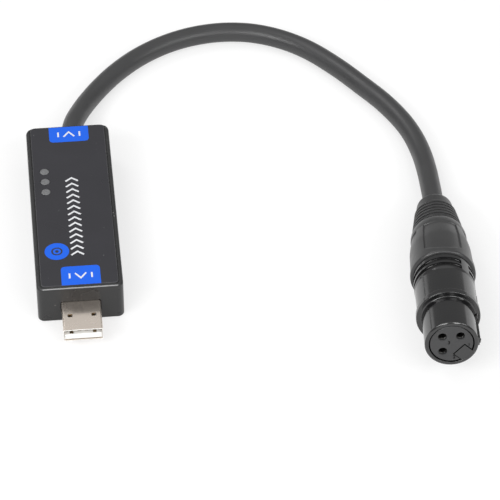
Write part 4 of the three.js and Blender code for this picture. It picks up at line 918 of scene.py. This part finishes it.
nut_stations = [NUT_LIP * (1 - math.cos(math.radians(10 * k))) for k in range(10)]
nut_stations += [1.2, 1.55]
nut_stations += [PANEL_START + k * 0.12 for k in range(-1, 24)]
nut_stations += [PANEL_START + 3.2 + k * 0.85 for k in range(14)]
nut_stations += [PANEL_END + k * 0.09 for k in range(-4, 4)]
nut_stations += [18.6, 19.4, 20.2, 20.7]
nut_stations += [NUT_LENGTH - NUT_HEEL * (1 - math.sin(math.radians(15 * k))) for k in range(7)]


def nut_profile(degrees):
    """The nut's closed section at one angle, with the panels sunk into its outside."""
    apart = min(abs((degrees - middle + 180) % 360 - 180) for middle in PANELS)
    crowned = PANEL_CROWN + (1 - PANEL_CROWN) * min(apart / PANEL_HALF, 1) ** 2
    across = softly((PANEL_HALF - apart) / 1.3) * crowned
    section = []
    for distance in nut_stations:
        radius = nut_radius(distance)
        for near_end, edge in ((distance, NUT_LIP), (NUT_LENGTH - distance, NUT_HEEL)):
            if near_end < edge:
                radius -= edge - math.sqrt(max(edge ** 2 - (edge - near_end) ** 2, 0))
        along_band = (distance - PANEL_END) / (NUT_LENGTH - PANEL_END)
        if along_band > 0:
            radius += BAND_SWELL * 4 * along_band * (1 - along_band)
        start = PANEL_START + PANEL_BOW * (apart / PANEL_HALF) ** 2
        lengthways = softly((distance - start) / 0.35) * softly((PANEL_END - distance) / 0.35)
        radius -= PANEL_DEPTH * across * lengthways
        section.append((radius, NUT_START + distance))
    inner = [
        (NUT_REAR_BORE, NUT_END), (NUT_REAR_BORE, SEAT_END), (SEAT_RADIUS, SEAT_START),
        (NUT_BORE, SEAT_START), (NUT_BORE, NUT_START + 0.25), (NUT_BORE + 0.2, NUT_START),
    ]
    return section + inner


nut_angles = []
for middle in PANELS:
    nut_angles += [middle - PANEL_HALF + 0.22 * k for k in range(-1, 8)]
    nut_angles += [middle - 33.75 + 2.5 * k for k in range(28)]
    nut_angles += [middle + PANEL_HALF - 0.22 * k for k in range(7, -2, -1)]
    nut_angles += [middle + apart for apart in (39, 42, 45, 48, 51)]
nut_rings = []
for degrees in nut_angles:
    angle = math.radians(degrees)
    nut_rings.append([(r * math.cos(angle), s, r * math.sin(angle)) for r, s in nut_profile(degrees)])
nut = formed("clamp_nut", *lofted(nut_rings, closed=True))
satin_nylon = coating(
    "satin_black_nylon", (0.036, 0.036, 0.0365), 0.34, drift=0.2, drift_size=6, gloss_drift=0.04,
    grain=0.5, grain_size=0.25, lift=0.01,
)
dressed(nut, face, 40)
mounted(nut, "nut", "nylon", satin_nylon, "gland_nut")
kept(["clamp_sleeve"], satin_nylon)

# The boot.
# Soft black rubber pushed into the nut's rear. Its ribs let it bend with the cord, and it turns with
# the nut. Inside it the cord's end runs on to the clamp, and three leads run from there to the sockets.
BOOT_START, BOOT_END, BOOT_BASE_LENGTH = 54.6, 70.75, 0.95
BOOT_BASE, BOOT_NECK, BOOT_SHOULDER, BOOT_TIP, SPIGOT = 7.95, 6.6, 6.1, 5.55, 5.1
RIB_COUNT, RIB_PITCH, RIB_SHARE, RIB_DEPTH, RIB_SLOPE = 5, 1.8, 0.5, 0.6, 0.12
SPIGOT_START = BOOT_START - 3.4
TAIL_STATIONS = 37.35, 60, 71.08
LEAD_START, LEAD_END, LEAD_CIRCLE = 26.75, 37.2, 1.5


def boot_radius(distance):
    """The boot's outside over its ribs, at a distance from its front end."""
    share = (distance - BOOT_BASE_LENGTH) / (RIB_COUNT * RIB_PITCH)
    return BOOT_BASE + (BOOT_NECK - BOOT_BASE) * share


boot_corners = [
    (CORD_RADIUS + CORD_FIT, SPIGOT_START, 0.1), (SPIGOT, SPIGOT_START, 0.2), (SPIGOT, BOOT_START, 0.1),
    (BOOT_BASE, BOOT_START, 0.4),
]
for rib in range(RIB_COUNT):
    start = BOOT_BASE_LENGTH + rib * RIB_PITCH
    end = start + RIB_PITCH * RIB_SHARE
    boot_corners += [
        (boot_radius(start), BOOT_START + start, 0.25),
        (boot_radius(start) - RIB_DEPTH, BOOT_START + start + RIB_SLOPE, 0.2),
        (boot_radius(end) - RIB_DEPTH, BOOT_START + end - RIB_SLOPE, 0.2),
        (boot_radius(end), BOOT_START + end, 0.25),
    ]
neck_start = BOOT_START + BOOT_BASE_LENGTH + RIB_COUNT * RIB_PITCH
boot_corners += [
    (BOOT_NECK, neck_start, 0.25), (BOOT_SHOULDER, neck_start + 0.45, 0.3),
    (BOOT_TIP, BOOT_END - 1.5, 1.2), (BOOT_TIP - 1.5, BOOT_END, 1.2),
    (CORD_RADIUS + CORD_FIT, BOOT_END, 0.12),
]
boot = formed("cord_boot", *turned(eased(boot_corners, 0.2, 5), facets=128))
dressed(boot, face, 50)
mounted(boot, "nut", "rubber", rubber, "boot")
tail_points = [(0, station, 0) for station in TAIL_STATIONS]
cord_tail = drawn_wire("cord_end_in_connector", tail_points, CORD_RADIUS, face)
mounted(cord_tail, "interface", "jacket", jacket, "cable_in_connector")
for k, (degrees, (slot, skin)) in enumerate(zip(CONTACT_DEGREES, lead_skins), 1):
    quarter = (LEAD_END - LEAD_START) / 4
    route = [
        around(CONTACT_CIRCLE, degrees, LEAD_START), around(CONTACT_CIRCLE, degrees, LEAD_START + quarter),
        around((CONTACT_CIRCLE + LEAD_CIRCLE) / 2, degrees, (LEAD_START + LEAD_END) / 2),
        around(LEAD_CIRCLE, degrees, LEAD_END - quarter), around(LEAD_CIRCLE, degrees, LEAD_END),
    ]
    lead = drawn_wire(f"lead_in_connector_{k}", bent_through(route, LEAD_STEPS), LEAD_RADIUS, face)
    mounted(lead, "interface", slot, skin, f"wire_in_connector_{k}")

# The studio.
# A white table in a room that is pale overhead and dim along its walls, with one lamp high behind
# the interface, two wide soft boxes in front of it and two small ones beside the camera.
TABLE_SIZE, TABLE_THICKNESS, TABLE_CORNER = 4000, 10, 10
TABLE_GLOW, TABLE_SEEN, SKY_GLOW, SKY_SEEN = 0.42, 0.62, 0.85, 1
HORIZON, WALLS, OVERHEAD = (0.05, 1), (0.38, (0.12, 0.56)), (0.66, 0.72)
table_outline = rounded(TABLE_SIZE, TABLE_SIZE, TABLE_CORNER)
table = formed("table", *lofted(upright(table_outline, [-TABLE_THICKNESS, 0])))
dressed(table)
white = bpy.data.materials.new("white_table")
white.use_nodes = True
nodes, links = white.node_tree.nodes, white.node_tree.links
paint = nodes["Principled BSDF"]
paint.inputs["Base Color"].default_value = (0.38, 0.38, 0.38, 1)
paint.inputs["Roughness"].default_value = 0.9
paint.inputs["Specular IOR Level"].default_value = 0
paint.inputs["Emission Color"].default_value = (1, 1, 1, 1)


def seen_directly(nodes, links, strength_low, strength_high):
    """One strength for rays from the camera, from gloss and from glass, and another for light."""
    rays = nodes.new("ShaderNodeLightPath")
    most = rays.outputs["Is Camera Ray"]
    for name in ("Is Glossy Ray", "Is Transmission Ray"):
        larger = nodes.new("ShaderNodeMath")
        larger.operation = "MAXIMUM"
        links.new(most, larger.inputs[0])
        links.new(rays.outputs[name], larger.inputs[1])
        most = larger.outputs["Value"]
    level = nodes.new("ShaderNodeMapRange")
    level.inputs["To Min"].default_value = strength_low
    level.inputs["To Max"].default_value = strength_high
    links.new(most, level.inputs["Value"])
    return level.outputs["Result"]


links.new(seen_directly(nodes, links, TABLE_GLOW, TABLE_SEEN), paint.inputs["Emission Strength"])
table.data.materials.append(white)
table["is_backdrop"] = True

world = bpy.data.worlds.new("sky")
scene.world = world
world.use_nodes = True
nodes, links = world.node_tree.nodes, world.node_tree.links
sky = nodes["Background"]
heading = nodes.new("ShaderNodeTexCoord")
apart = nodes.new("ShaderNodeSeparateXYZ")
links.new(heading.outputs["Generated"], apart.inputs["Vector"])
fade = nodes.new("ShaderNodeValToRGB")
bands = fade.color_ramp.elements
for k, (height, shade) in enumerate((HORIZON, OVERHEAD)):
    bands[k].position, bands[k].color = height, (shade, shade, shade, 1)
wall_shade, wall_heights = WALLS
for height in wall_heights:
    bands.new(height).color = (wall_shade, wall_shade, wall_shade, 1)
links.new(apart.outputs["Z"], fade.inputs["Fac"])
links.new(fade.outputs["Color"], sky.inputs["Color"])
links.new(seen_directly(nodes, links, SKY_GLOW, SKY_SEEN), sky.inputs["Strength"])


def lamp(name, location, target, width, height, power):
    """A flat soft light, aimed at the target."""
    light = bpy.data.lights.new(name, "AREA")
    light.shape = "RECTANGLE"
    light.size, light.size_y = width, height
    light.energy = power
    fixture = bpy.data.objects.new(name, light)
    scene.collection.objects.link(fixture)
    fixture.location = location
    fixture.rotation_euler = (Vector(target) - Vector(location)).to_track_quat("-Z", "Y").to_euler()


middle = (0.05, 0, 0)
lamp("back_lamp", (-0.5, 0.6, 1.0), middle, 0.5, 0.5, 2.2)
lamp("soft_box_left", (-0.57, -0.52, 0.66), middle, 0.55, 0.2, 4.0)
lamp("soft_box_right", (0.77, -0.52, 0.66), middle, 0.55, 0.2, 2.7)
lamp("near_box_left", (-0.28, -0.85, 0.76), middle, 0.34, 0.34, 2.2)
lamp("near_box_right", (0.36, -0.85, 0.76), middle, 0.34, 0.34, 2.2)

low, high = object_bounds()
